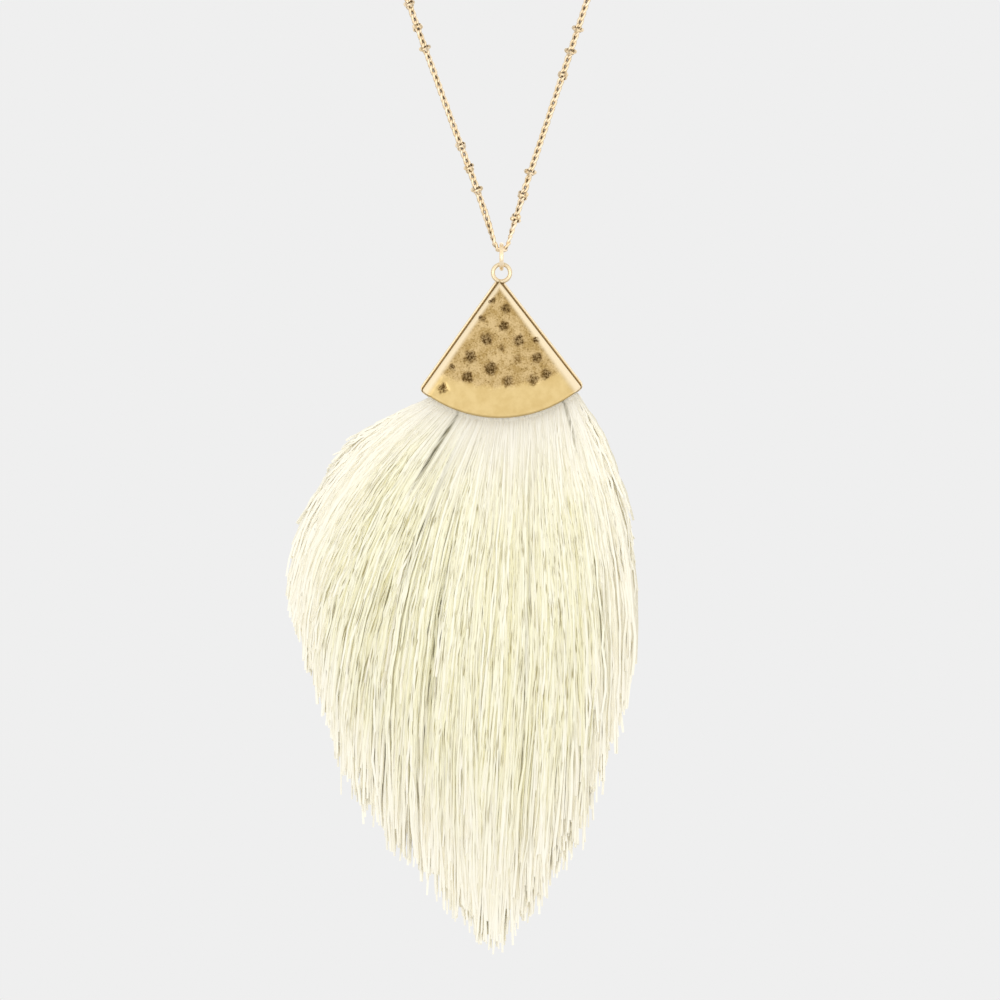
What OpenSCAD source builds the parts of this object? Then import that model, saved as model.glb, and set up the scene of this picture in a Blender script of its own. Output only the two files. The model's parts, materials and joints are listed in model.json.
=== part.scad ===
// Long necklace: a fine curb chain set with knots of four granules, and a cast
// fan-shaped cap that holds a pointed tassel of silky threads.
// The origin is the middle of the clasp, where the chain rests on the nape.
// +Z is up and the wearer faces -Y. Lengths are in millimetres.

/* [Pendant cap] */
// Angle between each straight side of the fan and its middle line
cap_side_angle = 36.6; // [32:0.1:39]
// How far below the loop's centre the lines of the two sides would meet
cap_apex_drop = 0.6; // [0:0.05:1]
// Height from the loop's centre to the lowest point of the curved edge
cap_drop = 32.7; // [28:0.1:40]
// Radius of the curved lower edge
cap_edge_r = 28.2; // [24:0.1:30]
// Thickness of the cap at its lower edge
cap_t = 5.6; // [5:0.1:8]
// Thickness of the cap at its narrow top
cap_top_t = 2.6; // [1.8:0.1:3.6]
// Radius of the two lower corners
cap_corner_r = 1.4; // [1:0.1:2.5]
// How far the rim of the back plate stands out round the body
rim_w = 0.85; // [0.4:0.05:0.9]
// How far the rim stands out below the body at the curved edge
rim_foot = 0.2; // [0.1:0.05:0.5]
// Thickness of the rim of the back plate
rim_t = 1.3; // [0.8:0.1:1.6]
// Width of the slope along each straight side of the front
bevel_w = 1.7; // [0.8:0.1:2.2]
// Depth of that slope
bevel_d = 0.8; // [0.3:0.1:1]
// Radius of a large hammer dent
dent_r = 1.35; // [0.8:0.05:1.8]
// Depth of a large hammer dent
dent_d = 0.26; // [0.1:0.02:0.4]
// Lean of the hanging cap, its right corner up, in degrees
cap_lean = 1.2; // [0:0.1:3]
// How far the cap's middle line lies to the left of its loop
cap_offset = 0.5; // [0:0.1:0.8]

/* [Slot for the tassel] */
// Width of the slot from front to back
slot_t = 3; // [2.6:0.1:3.4]
// Depth of the slot, up from the lower edge
slot_depth = 10; // [6:0.5:12]
// Wall at each end of the slot
slot_wall = 1.8; // [1.4:0.1:2.6]

/* [Loop and ring] */
// Diameter of the hole in the cap's loop
loop_hole_d = 2.9; // [2.6:0.1:3.4]
// Diameter of the loop's wire
loop_wire = 0.95; // [0.8:0.05:1.1]
// Diameter of the hole in the jump ring
ring_hole_d = 4.5; // [3.6:0.1:5]
// Diameter of the jump ring's wire
ring_wire = 0.95; // [0.8:0.05:1.1]

/* [Chain] */
// Width of the curb chain
chain_d = 1.6; // [1.3:0.05:1.8]
// Pitch of a plain link
link_pitch = 1.63; // [1.5:0.01:1.75]
// Pitch of a link that carries a knot
knot_pitch = 2; // [1.8:0.05:2.2]
// Plain links between two knots of one group
links_in_group = 2; // [1:1:2]
// Plain links between two groups
links_between_groups = 13; // [9:1:13]
// Plain links from the lowest one to the first knot on the right
links_to_first_knot = 4; // [3:1:6]
// Diameter of one granule
granule_d = 0.8; // [0.5:0.05:0.9]
// Length of the collar that carries the granules
collar_l = 0.6; // [0.4:0.05:0.8]
// Wall of that collar
collar_wall = 0.15; // [0.12:0.01:0.25]

/* [Clasp] */
// Diameter of the clasp's barrel
clasp_d = 3.2; // [2.6:0.1:4]
// Length of the barrel
clasp_l = 9; // [7:0.5:12]
// Chamfer of the barrel's ends
clasp_chamfer = 0.5; // [0.2:0.05:0.8]
// Diameter of the hole in each eye
eye_hole_d = 1.7; // [1.4:0.1:2]
// Diameter of the eye's wire
eye_wire = 0.7; // [0.6:0.05:0.9]

/* [Tassel] */
// Width of the tassel at its widest
tassel_w = 82; // [74:0.5:90]
// Length from the cap's lower edge to the tip
tassel_l = 116; // [90:1:130]
// Thickness of the tassel at its fullest
tassel_t = 16; // [12:0.5:20]
// Width of one lock at its fullest
lock_w = 9.5; // [8:0.1:11]
// Locks in the middle row
locks = 13; // [11:1:15]

/* [Clearance] */
// Gap between pieces that hang in one another or lie together
gap = 0.1; // [0.06:0.01:0.14]
// Gap round the tassel's head in its slot
head_gap = 0.2; // [0.15:0.01:0.3]

/* [Hidden] */
gold = "#d6b26a";
cream = "#f5f0d2";
$fn = 48;

// Lowest point of the chain's middle line, where the jump ring hangs
DROP = [0, -108, -300];
// Route round the right of the neck, from the clasp to the front. The left mirrors it.
NECK = [[22, -2.5, -0.8], [40, -10.5, -3], [53, -25, -7], [59.5, -44, -12],
    [61, -64, -19], [59.5, -83, -29], [57, -98, -43]];
// Hanging stretch: height above the drop, reach to the left, reach to the right
FALL = [[232, 53.6, 53], [196, 50.4, 49.2], [160, 45.6, 44], [125, 39.2, 37.4],
    [92, 31.4, 29.4], [62, 22.9, 21], [36, 13.7, 12.6], [14, 5.6, 5.3]];
// Steps of the smooth curve between two points of the route
STEPS = 2;
BEND_STEPS = 8;
CHAIN_SIDES = 8;

// Hammer dents: place to the right of the cap's middle line and down from the loop's
// centre as shares of cap_drop, and size as a share of dent_r
DENTS = [[-0.046, 0.188, 0.55], [0.043, 0.244, 0.8], [-0.125, 0.31, 0.6],
    [0.023, 0.365, 0.85], [-0.093, 0.449, 1], [0.124, 0.464, 0.95],
    [0.237, 0.466, 0.55], [0.008, 0.512, 0.65], [-0.21, 0.571, 1.05],
    [0.114, 0.591, 0.8], [0.243, 0.588, 0.9], [-0.071, 0.654, 1.1],
    [-0.338, 0.637, 0.55], [-0.232, 0.708, 0.95], [0.042, 0.742, 0.95],
    [0.217, 0.738, 0.9], [0.306, 0.7, 0.85], [-0.402, 0.781, 0.85]];

// Locks from left to right: root as a share of the half slot, tip to the right of
// the middle line as a share of tassel_w, tip below the cap's edge as a share of
// tassel_l, direction at the root in degrees from straight down, and fullness from
// front to back
LOCKS = [[-1, -0.57, 0.37, -58, 0.55], [-0.83, -0.53, 0.45, -46, 0.62],
    [-0.67, -0.475, 0.55, -37, 0.7], [-0.5, -0.415, 0.675, -29, 0.8],
    [-0.33, -0.33, 0.79, -23, 0.9], [-0.17, -0.225, 0.875, -15, 1],
    [0, -0.115, 0.945, -7, 1], [0.17, -0.012, 1, 0, 1], [0.33, 0.075, 0.93, 6, 1],
    [0.5, 0.155, 0.855, 9, 1], [0.67, 0.23, 0.74, 12, 0.95],
    [0.83, 0.29, 0.62, 16, 0.85], [1, 0.345, 0.48, 20, 0.7]];
// Sections of a lock from where it leaves the slot: share of its length, width as a
// share of lock_w, thickness and distance from the middle plane as shares of its row's
SECTIONS = [[0, 0.3, 0.3, 0], [0.07, 0.5, 0.5, 0.3], [0.15, 0.72, 0.72, 0.6],
    [0.28, 0.95, 0.95, 0.9], [0.48, 1, 1, 1], [0.68, 0.85, 0.84, 0.85],
    [0.86, 0.55, 0.52, 0.6], [1, 0.1, 0.1, 0.35]];
LOCK_SIDES = 8;
// Length of the locks of the front and back rows as a share of the middle row's
outer_reach = 0.94;
// Half thickness of a row, and distance between rows, as shares of the tassel's thickness
row_half = 0.2;
row_step = 0.3;
// Half width of a lock in the slot as a share of lock_w
root_share = 0.15;
// How far a lock's curve keeps its first and its last direction, as shares of its length
root_pull = 0.3;
tip_pull = 0.36;
// How far the hole of each eye stays off the clasp's barrel
eye_out = 0.1;
// Where the locks start inside the slot and where they are free, from the cap's edge
root_in = 2.5;
exit = 0.5;

chain_r = chain_d / 2;
bend_r = chain_r + ring_wire / 2 + gap;
bend_centre = DROP + [0, 0, bend_r];
ring_r = (ring_hole_d + ring_wire) / 2;
ring_centre = DROP - [0, 0, ring_hole_d / 2 - chain_r - gap];
ring_low = ring_centre - [0, 0, ring_r];
loop_r = (loop_hole_d + loop_wire) / 2;
loop_centre = ring_low - [0, 0, loop_hole_d / 2 - ring_wire / 2 - gap];

function unit(v) = v / norm(v);
function mixed(a, b, t) = a + (b - a) * t;

// Smooth curve through a, b, c and d: the point between b and c, a share t of the way
function between(a, b, c, d, t) = 0.5 * (2 * b + (c - a) * t
    + (2 * a - 5 * b + 4 * c - d) * t * t + (3 * b - a - 3 * c + d) * t * t * t);

function smooth(p, steps) = let (n = len(p)) concat([for (i = [0 : n - 2])
    for (j = [0 : steps - 1]) between(p[max(i - 1, 0)], p[i], p[i + 1],
        p[min(i + 2, n - 1)], j / steps)], [p[n - 1]]);

eye_r = (eye_hole_d + eye_wire) / 2;
eye_x = (clasp_l + eye_hole_d) / 2 + eye_out;
chain_end_x = eye_x + eye_r + eye_wire / 2 + gap;

// Chosen points of one side, from the clasp down to the last one above the bend
function side_points(side) = concat([[side * chain_end_x, 0, 0]],
    [for (p = NECK) [side * p.x, p.y, p.z]],
    [for (f = FALL) [side * (side < 0 ? f[1] : f[2]), DROP.y, DROP.z + f[0]]]);

// Angle round the bend's centre where a straight strand up to point p leaves it
function leaves_at(p) = let (d = [abs(p.x), p.z - bend_centre.z])
    atan2(d.y, d.x) - acos(bend_r / norm(d));

function bend_point(a, side) = bend_centre + bend_r * [side * cos(a), 0, sin(a)];

function last(v) = v[len(v) - 1];

function side_path(side) = let (chosen = side_points(side))
    smooth(concat(chosen, [bend_point(leaves_at(last(chosen)), side)]), STEPS);

right_path = side_path(1);
left_path = side_path(-1);
right_a = leaves_at(last(side_points(1)));
left_a = -180 - leaves_at(last(side_points(-1)));
bend = [for (i = [1 : BEND_STEPS - 1])
    bend_point(mixed(right_a, left_a, i / BEND_STEPS), 1)];
path = concat(right_path, bend, [for (i = [len(left_path) - 1 : -1 : 0]) left_path[i]]);
low_i = len(right_path) + BEND_STEPS / 2 - 1;

function length_of(p, i = 0) = i >= len(p) - 1 ? 0
    : norm(p[i + 1] - p[i]) + length_of(p, i + 1);

// Direction of a path at each of its points
function directions(p) = [for (i = [0 : len(p) - 1])
    unit(p[min(i + 1, len(p) - 1)] - p[max(i - 1, 0)])];

// Side vectors carried along a path without twist
function carried(t, first) = [for (i = 0, n = unit(first - t[0] * (first * t[0]));
    i < len(t); i = i + 1,
    n = i < len(t) ? unit(n - t[i] * (n * t[i])) : n) n];

// Closed skin over rings that hold the same number of points
module skin(rings) {
    n = len(rings[0]);
    m = len(rings);
    walls = [for (i = [0 : m - 2]) for (j = [0 : n - 1]) each [
        [i * n + j, i * n + (j + 1) % n, (i + 1) * n + (j + 1) % n],
        [i * n + j, (i + 1) * n + (j + 1) % n, (i + 1) * n + j]]];
    polyhedron([for (r = rings) each r], concat([[for (j = [n - 1 : -1 : 0]) j]],
        walls, [[for (j = [0 : n - 1]) (m - 1) * n + j]]));
}

// Round tube along a path
module tube(p, r, sides) {
    t = directions(p);
    n = carried(t, [0, 0, 1]);
    skin([for (i = [0 : len(p) - 1]) let (b = cross(t[i], n[i]))
        [for (j = [0 : sides - 1]) let (a = 360 * j / sides)
            p[i] + r * (n[i] * cos(a) - b * sin(a))]]);
}

module chain() color(gold) tube(path, chain_r, CHAIN_SIDES);

// Point and direction at the distance s along a path from its point i
function walk(p, s, i = 0) = let (d = p[i + 1] - p[i], l = norm(d))
    s <= l || i + 2 >= len(p) ? [p[i] + unit(d) * s, unit(d)] : walk(p, s - l, i + 1);

up_right = [for (i = [low_i : -1 : 0]) path[i]];
up_left = [for (i = [low_i : len(path) - 1]) path[i]];
knot_step = knot_pitch + links_in_group * link_pitch;
between_groups = knot_pitch + links_between_groups * link_pitch;
group_step = 2 * knot_step + between_groups;
first_right = (links_to_first_knot + 0.5) * link_pitch + knot_pitch / 2;
collar_hole_r = chain_r + gap;
granule_at = collar_hole_r + collar_wall;

// Turns what follows so that its Z axis points along at[1], and moves it to at[0]
module placed(at) translate(at[0])
    rotate([0, acos(at[1].z), atan2(at[1].y, at[1].x)]) children();

// Eight-sided prism whose flats lie at the distance r from its middle
module prism(h, r) rotate([0, 0, 22.5])
    cylinder(h = h, r = r / cos(22.5), center = true, $fn = 8);

// One knot: four granules on a collar that the chain runs through
module knot() difference() {
    union() {
        prism(collar_l, granule_at);
        for (a = [0 : 90 : 270]) rotate([0, 0, a])
            translate([granule_at, 0, 0]) sphere(d = granule_d);
    }
    prism(2 * granule_d + collar_l, collar_hole_r);
}

// Groups of three knots up one side as far as it reaches, the first at a distance
// from the chain's lowest point
module knots_along(p, first) {
    room = length_of(p) - knot_step;
    for (start = [first : group_step : room]) for (s = [0 : knot_step : 2 * knot_step])
        if (start + s < room) placed(walk(p, start + s)) knot();
}

module chain_knots() color(gold) {
    knots_along(up_right, first_right);
    knots_along(up_left, between_groups - first_right);
}

// Ring of round wire about the Z axis
module wire_ring(r, wire) rotate_extrude() translate([r, 0]) circle(d = wire);

// Plain barrel clasp with an eye at each end
module clasp() color(gold) union() {
    end = clasp_l / 2;
    straight = end - clasp_chamfer;
    flat_r = clasp_d / 2 - clasp_chamfer;
    rotate([0, 90, 0]) rotate_extrude() polygon([[0, -end], [flat_r, -end],
        [clasp_d / 2, -straight], [clasp_d / 2, straight], [flat_r, end], [0, end]]);
    for (side = [-1, 1]) translate([side * eye_x, 0, 0]) wire_ring(eye_r, eye_wire);
}

module jump_ring() color(gold) translate(ring_centre) rotate([0, 90, 0])
    wire_ring(ring_r, ring_wire);

edge_centre = [0, cap_edge_r - cap_drop];
// Half of the cap's thickness at a height below the loop's centre
function half_t(z) = mixed(cap_top_t, cap_t, -z / cap_drop) / 2;

foot = -cap_drop - cap_corner_r;
back_face = [half_t(0), half_t(foot)];
rim_face = back_face - [rim_t, rim_t];

// Point on the right side's line, drawn in by o, at a distance from the edge's centre
function meet(o, far) = let (a = cap_side_angle, start = -cap_apex_drop - o / sin(a),
    d = edge_centre.y - start, s = -d * cos(a) + sqrt(far * far - pow(d * sin(a), 2)))
    [s * sin(a), start - s * cos(a)];

function mirrored(p) = [-p.x, p.y];

// Outline of the fan with its sides drawn in by o and its curved edge by e
module fan(o, e) {
    r = cap_corner_r - o;
    corner = meet(cap_corner_r, cap_edge_r - e - r);
    side = corner + r * [cos(cap_side_angle), sin(cap_side_angle)];
    out = 2 * corner - edge_centre;
    apex = [0, -cap_apex_drop - o / sin(cap_side_angle)];
    inner = edge_centre - [0, cap_edge_r / 2];
    polygon([apex, mirrored(side), mirrored(corner), inner, corner, side]);
    intersection() {
        translate(edge_centre) circle(r = cap_edge_r - e, $fn = 96);
        polygon([edge_centre, mirrored(out), [0, -2 * cap_drop], out]);
    }
    for (c = [corner, mirrored(corner)]) translate(c) circle(r = r);
}

// Flat shape in the plane of the cap, thickened evenly to both sides
module thick(t) rotate([90, 0, 0]) linear_extrude(height = t, center = true) children();

// Wedge right across the cap between a back and a front, each given as its Y at the
// loop's height and its Y at the foot
module slice(back, front) {
    rotate([90, 0, 90]) linear_extrude(height = 4 * cap_drop, center = true)
        polygon([[back[0], 0], [back[1], foot], [front[1], foot], [front[0], 0]]);
}

// Pocket for the tassel's head, all its walls drawn in by o
module slot(o, reach) thick(slot_t - 2 * o) intersection() {
    translate(edge_centre) difference() {
        circle(r = cap_edge_r + reach, $fn = 96);
        circle(r = cap_edge_r - slot_depth + o, $fn = 96);
    }
    apex = [0, -cap_apex_drop - (slot_wall + o) / sin(cap_side_angle)];
    far = meet(slot_wall + o, 2 * cap_edge_r);
    polygon([apex, mirrored(far), far]);
}

// Cutter for the slope along the right side of the front
module bevel() {
    z = -cap_apex_drop - rim_w / sin(cap_side_angle);
    taper = (cap_t - cap_top_t) / 2 / cap_drop;
    along = unit([sin(cap_side_angle), -taper * cos(cap_side_angle), -cos(cap_side_angle)]);
    placed([[0, -half_t(z), z], along]) linear_extrude(height = 2 * cap_drop)
        polygon([[2 * bevel_w, -bevel_d], [-bevel_w, 2 * bevel_d],
            [-2 * bevel_w, -2 * bevel_d]]);
}

// Ball that leaves a dent of the radius r in the front
module dent(x, z, r) {
    depth = dent_d * r / dent_r;
    ball_r = (r * r + depth * depth) / (2 * depth);
    translate([x, depth - half_t(z) - ball_r, z]) sphere(r = ball_r);
}

module hung() translate(loop_centre) rotate([0, -cap_lean, 0]) children();

// Fan-shaped plate with its rim and its sloped body, about its own middle line
module plate() {
    intersection() {
        thick(2 * cap_t) fan(0, 0);
        slice(back_face, rim_face);
    }
    difference() {
        intersection() {
            thick(2 * cap_t) fan(rim_w, rim_foot);
            slice((back_face + rim_face) / 2, -back_face);
        }
        bevel();
        mirror([1, 0, 0]) bevel();
    }
}

module cap() color(gold) hung() union() {
    difference() {
        translate([-cap_offset, 0, 0]) difference() {
            plate();
            slot(0, cap_corner_r);
            for (d = DENTS) dent(d[0] * cap_drop, -d[1] * cap_drop, d[2] * dent_r);
        }
        rotate([90, 0, 0]) cylinder(h = 2 * cap_t, r = loop_r, center = true);
    }
    rotate([90, 0, 0]) wire_ring(loop_r, loop_wire);
}

// Value in a column of the table of locks at a place u across the slot
function locks_at(u, column) = lookup(u, [for (l = LOCKS) [l[0], l[column]]]);

root_half = root_share * lock_w;
root_t = slot_t / 2 - head_gap;
half_slot = meet(slot_wall + head_gap + root_half, cap_edge_r) - edge_centre;
slot_angle = atan2(half_slot.x, -half_slot.y);

// Point beyond the cap's edge, a share u across the slot, in the cap's plane
function beyond(u, reach) = let (a = u * slot_angle)
    edge_centre + (cap_edge_r + reach) * [sin(a), -cos(a)];

// The same point about the loop, as it lies when the cap leans
function leaned(p) = let (x = p.x - cap_offset)
    [x * cos(cap_lean) - p.y * sin(cap_lean), x * sin(cap_lean) + p.y * cos(cap_lean)];

function bezier(a, b, c, d, t) = let (r = 1 - t)
    r * r * r * a + 3 * r * r * t * b + 3 * r * t * t * c + t * t * t * d;

// Middle line of the lock at u: two points in the slot, then the free sections
function lock_path(u, reach) = let (start = leaned(beyond(u, exit)),
    tip = [locks_at(u, 1) * tassel_w, -cap_drop - locks_at(u, 2) * tassel_l * reach],
    a = locks_at(u, 3), l = norm(tip - start),
    b = start + root_pull * l * [sin(a), -cos(a)], c = tip + [0, tip_pull * l])
    concat([leaned(beyond(u, -root_in))],
        [for (k = SECTIONS) bezier(start, b, c, tip, k[0])]);

// Lock at u in a row: -1 is the front one, 0 the middle one and 1 the back one
module lock(u, row, reach) {
    p = lock_path(u, reach);
    d = directions(p);
    full = locks_at(u, 4) * tassel_t;
    rings = [for (i = [0 : len(p) - 1])
        let (k = SECTIONS[max(i - 1, 0)],
            w = i < 2 ? root_half : lock_w / 2 * k[1],
            t = i < 2 ? root_t : row_half * full * k[2],
            y = i < 2 ? 0 : row_step * full * k[3] * row)
        [for (j = [0 : LOCK_SIDES - 1]) let (a = 360 * (j + 0.5) / LOCK_SIDES,
            q = p[i] + w * cos(a) * [-d[i].y, d[i].x]) [q.x, y + t * sin(a), q.y]]];
    for (i = [0 : len(p) - 2]) hull() skin([rings[i], rings[i + 1]]);
}

module tassel() color(cream) translate(loop_centre) union() {
    rotate([0, -cap_lean, 0]) translate([-cap_offset, 0, 0]) slot(head_gap, 0);
    for (row = [-1 : 1]) {
        n = locks - abs(row);
        for (i = [0 : n - 1]) lock((2 * i - n + 1) / (locks - 1), row,
            row == 0 ? 1 : outer_reach);
    }
}

chain();
chain_knots();
clasp();
jump_ring();
cap();
tassel();
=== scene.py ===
"""Tassel necklace, dressed for the studio.

Shapes are worked out in millimetres in the necklace's own frame: the origin is the
middle of the clasp at the nape, +Z is up and the wearer faces -Y. A mesh is scaled to
metres when it is made, and every object sits at the origin.
"""
import json
import logging
import math
from dataclasses import dataclass, field
from enum import Enum

import bpy
import numpy as np
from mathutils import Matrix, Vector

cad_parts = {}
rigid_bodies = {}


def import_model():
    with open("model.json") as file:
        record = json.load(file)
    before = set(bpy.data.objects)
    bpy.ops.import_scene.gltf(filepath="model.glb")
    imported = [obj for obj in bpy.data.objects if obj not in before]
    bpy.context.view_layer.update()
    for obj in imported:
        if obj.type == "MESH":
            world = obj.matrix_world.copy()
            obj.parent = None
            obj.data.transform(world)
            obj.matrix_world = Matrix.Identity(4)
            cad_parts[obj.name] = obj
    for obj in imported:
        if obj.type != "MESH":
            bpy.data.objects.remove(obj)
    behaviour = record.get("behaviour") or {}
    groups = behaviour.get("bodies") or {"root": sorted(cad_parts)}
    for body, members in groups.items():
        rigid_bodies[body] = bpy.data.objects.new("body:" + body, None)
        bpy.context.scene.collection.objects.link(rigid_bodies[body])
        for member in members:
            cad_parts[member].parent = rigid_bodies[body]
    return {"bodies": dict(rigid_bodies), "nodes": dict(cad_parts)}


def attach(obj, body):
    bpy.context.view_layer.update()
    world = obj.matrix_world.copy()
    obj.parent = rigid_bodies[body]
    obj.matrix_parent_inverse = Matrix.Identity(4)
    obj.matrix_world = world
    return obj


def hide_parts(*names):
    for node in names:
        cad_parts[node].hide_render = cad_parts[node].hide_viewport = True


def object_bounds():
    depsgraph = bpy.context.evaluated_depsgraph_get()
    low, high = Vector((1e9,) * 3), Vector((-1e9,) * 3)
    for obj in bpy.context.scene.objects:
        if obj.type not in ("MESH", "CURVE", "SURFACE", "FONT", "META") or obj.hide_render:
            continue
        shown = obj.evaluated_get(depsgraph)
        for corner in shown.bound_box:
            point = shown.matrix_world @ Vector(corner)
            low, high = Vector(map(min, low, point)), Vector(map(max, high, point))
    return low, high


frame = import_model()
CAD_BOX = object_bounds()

Array = np.ndarray
Socket = bpy.types.NodeSocket
Material = bpy.types.Material
Piece = bpy.types.Object
Pair = tuple[float, float]
Triple = tuple[float, float, float]
Ripple = tuple[float, float, int]
Table = tuple[tuple[float, ...], ...]
Settings = dict[str, object]
Inputs = dict[str | int, object]
LOG = logging.getLogger("necklace")
MM = 0.001
ASKEW = (0.36, 0.48, 0.8)  # unit vector along none of the axes
WAVES = 7
WAVE_PACES = (0.7, 1.4)    # a wave's pace as a share of the mean one
WAVE_GAIN = 1.6            # how far the mean of the waves is raised


class Body(Enum):
    """Bodies of the frame that the pieces ride on."""

    NECK_CHAIN = "root"
    RING = "ring"
    PENDANT = "pendant"


class Slot(Enum):
    """Material slots of the record."""

    CHAIN_METAL = "chain_metal"
    CAP_METAL = "cap_metal"
    THREADS = "threads"


# Shapes


def unit(v: Array) -> Array:
    """Vectors divided by their own length, along the last axis."""
    return v / np.linalg.norm(v, axis=-1, keepdims=True)


def smooth_step(low: float, high: float, x: Array) -> Array:
    """0 below low, 1 above high and 3t^2 - 2t^3 between them; high may be the smaller."""
    t = np.clip((x - low) / (high - low), 0, 1)
    return t * t * (3 - 2 * t)


def square_to(along: Array, v: Array) -> Array:
    """Unit vectors along what is left of v without its part along a direction."""
    return unit(v - along * np.sum(v * along, axis=-1, keepdims=True))


def angles(count: int) -> Array:
    """Angles that part a whole turn into equal steps."""
    return np.linspace(0, 2 * np.pi, count, endpoint=False)


def on_circle(a: Array) -> Array:
    """Points of the unit circle at these angles: cos a, sin a."""
    return np.stack([np.cos(a), np.sin(a)], axis=-1)


def crosswise(ahead: Array) -> Array:
    """Directions in a plane turned by a quarter: (x, z) becomes (-z, x)."""
    return np.stack([-ahead[..., 1], ahead[..., 0]], axis=-1)


def turned(x: Array, z: Array, degrees: float) -> tuple[Array, Array]:
    """X and Z turned so that +X rises to +Z for a positive angle."""
    c, s = math.cos(math.radians(degrees)), math.sin(math.radians(degrees))
    return x * c - z * s, x * s + z * c


def grid_faces(rows: int, columns: int, ring_of_rows: bool = False) -> Array:
    """Quads of a grid whose columns close on themselves.

    Args:
        rows: number of rows of points.
        columns: number of points in a row.
        ring_of_rows: whether the last row also joins the first.

    Returns:
        Four point numbers for each quad.
    """
    i = np.arange(rows if ring_of_rows else rows - 1)[:, None]
    j = np.arange(columns)[None, :]
    near, far = i * columns, (i + 1) % rows * columns
    after = (j + 1) % columns
    quads = np.stack([near + j, near + after, far + after, far + j], axis=-1)
    return quads.reshape(-1, 4)


def pole_faces(pole: int, first: int, count: int, step: int) -> Array:
    """Triangles from a pole to the row of points round it.

    Args:
        pole: number of the point at the pole.
        first: number of the row's first point.
        count: points in the row.
        step: 1 to go round with the row, -1 to go against it.

    Returns:
        Three point numbers for each triangle.
    """
    ring = first + np.arange(count)
    pair = [ring, np.roll(ring, -1)][::step]
    return np.stack([np.full(count, pole), *pair], axis=1)


def repeated(faces: Array, points: int, copies: int) -> Array:
    """The faces of one shape for each of its copies, whose points follow each other."""
    shifts = points * np.arange(copies)[:, None, None]
    return (faces[None] + shifts).reshape(-1, faces.shape[1])


def new_object(name: str, data: bpy.types.ID) -> Piece:
    """Makes an object and puts it into the scene.

    Args:
        name: its name.
        data: its mesh, light or camera.

    Returns:
        The new object.
    """
    piece = bpy.data.objects.new(name, data)
    bpy.context.scene.collection.objects.link(piece)
    return piece


def mark(mesh: bpy.types.Mesh, fields: dict[str, Array]) -> None:
    """Gives a mesh attributes with a number for each of its points.

    Args:
        mesh: the mesh.
        fields: the numbers by the attribute's name.
    """
    for key, values in fields.items():
        layer = mesh.attributes.new(key, "FLOAT", "POINT")
        layer.data.foreach_set("value", values.astype(np.float32))


@dataclass
class Surface:
    """Points and faces of one or more closed surfaces, in millimetres."""

    points: Array
    faces: tuple[Array, ...]
    fields: dict[str, Array] = field(default_factory=dict)
    uv: Array | None = None
    smooth: bool = True

    def piece(self, name: str) -> Piece:
        """Makes the Blender object, with its place in its mesh.

        Args:
            name: name of the piece.

        Returns:
            The new object, with the fields as attributes of its points.
        """
        mesh = bpy.data.meshes.new(name)
        corners = np.concatenate([f.ravel() for f in self.faces]).astype(np.int32)
        sizes = np.concatenate([np.full(len(f), f.shape[1]) for f in self.faces])
        mesh.vertices.add(len(self.points))
        mesh.vertices.foreach_set("co", (self.points * MM).astype(np.float32).ravel())
        mesh.loops.add(len(corners))
        mesh.loops.foreach_set("vertex_index", corners)
        mesh.polygons.add(len(sizes))
        starts = (np.cumsum(sizes) - sizes).astype(np.int32)
        mesh.polygons.foreach_set("loop_start", starts)
        mesh.polygons.foreach_set("use_smooth", np.full(len(sizes), self.smooth))
        mesh.update(calc_edges=True)
        mark(mesh, self.fields)
        if self.uv is not None:
            layer = mesh.uv_layers.new(name="UVMap")
            layer.data.foreach_set("uv", self.uv[corners].astype(np.float32).ravel())
        return new_object(name, mesh)


def torus(centre: Array, axis: Array, radius: float, wire: float,
          steps: int, sides: int) -> Surface:
    """Round wire bent to a ring: centre + (radius + wire/2 cos v) r(u) + wire/2 sin v axis.

    Args:
        centre: middle of the ring.
        axis: unit vector along the ring's axis.
        radius: from the middle to the wire's middle.
        wire: diameter of the wire.
        steps: points along the wire.
        sides: points round the wire.

    Returns:
        The closed surface.
    """
    first = unit(np.cross(axis, ASKEW))
    second = np.cross(axis, first)
    u, v = angles(steps)[:, None, None], angles(sides)[None, :, None]
    out = np.cos(u) * first + np.sin(u) * second
    points = centre + (radius + wire / 2 * np.cos(v)) * out + wire / 2 * np.sin(v) * axis
    return Surface(points.reshape(-1, 3), (grid_faces(steps, sides, True),))


def prism(outline: Array, half_depth: float) -> Surface:
    """A flat outline carried along Y, from -half_depth to half_depth.

    Args:
        outline: points in X and Z, clockwise as seen from the front.
        half_depth: half of the prism's depth.

    Returns:
        The closed surface.
    """
    n = len(outline)
    points = np.zeros((2 * n, 3))
    points[:, [0, 2]] = np.tile(outline, (2, 1))
    points[:n, 1] = -half_depth
    points[n:, 1] = half_depth
    ends = np.array([np.arange(n)[::-1], np.arange(n, 2 * n)])
    return Surface(points, (grid_faces(2, n), ends))


def ripple(x: Array, z: Array, sizes: Ripple) -> Array:
    """Smooth unevenness: the mean of cosine waves in seeded directions.

    Args:
        x: places across.
        z: places up.
        sizes: height, mean length of a wave, and the number that picks the waves.

    Returns:
        The height at each place.
    """
    height, length, seed = sizes
    random = np.random.default_rng(seed)
    turn = random.uniform(0, 2 * np.pi, WAVES)
    pace = 2 * np.pi / length * random.uniform(*WAVE_PACES, WAVES)
    start = random.uniform(0, 2 * np.pi, WAVES)
    total = sum(np.cos(k * (x * math.cos(a) + z * math.sin(a)) + s)
                for a, k, s in zip(turn, pace, start))
    return height * (total / WAVES * WAVE_GAIN)


# Finishes


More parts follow.
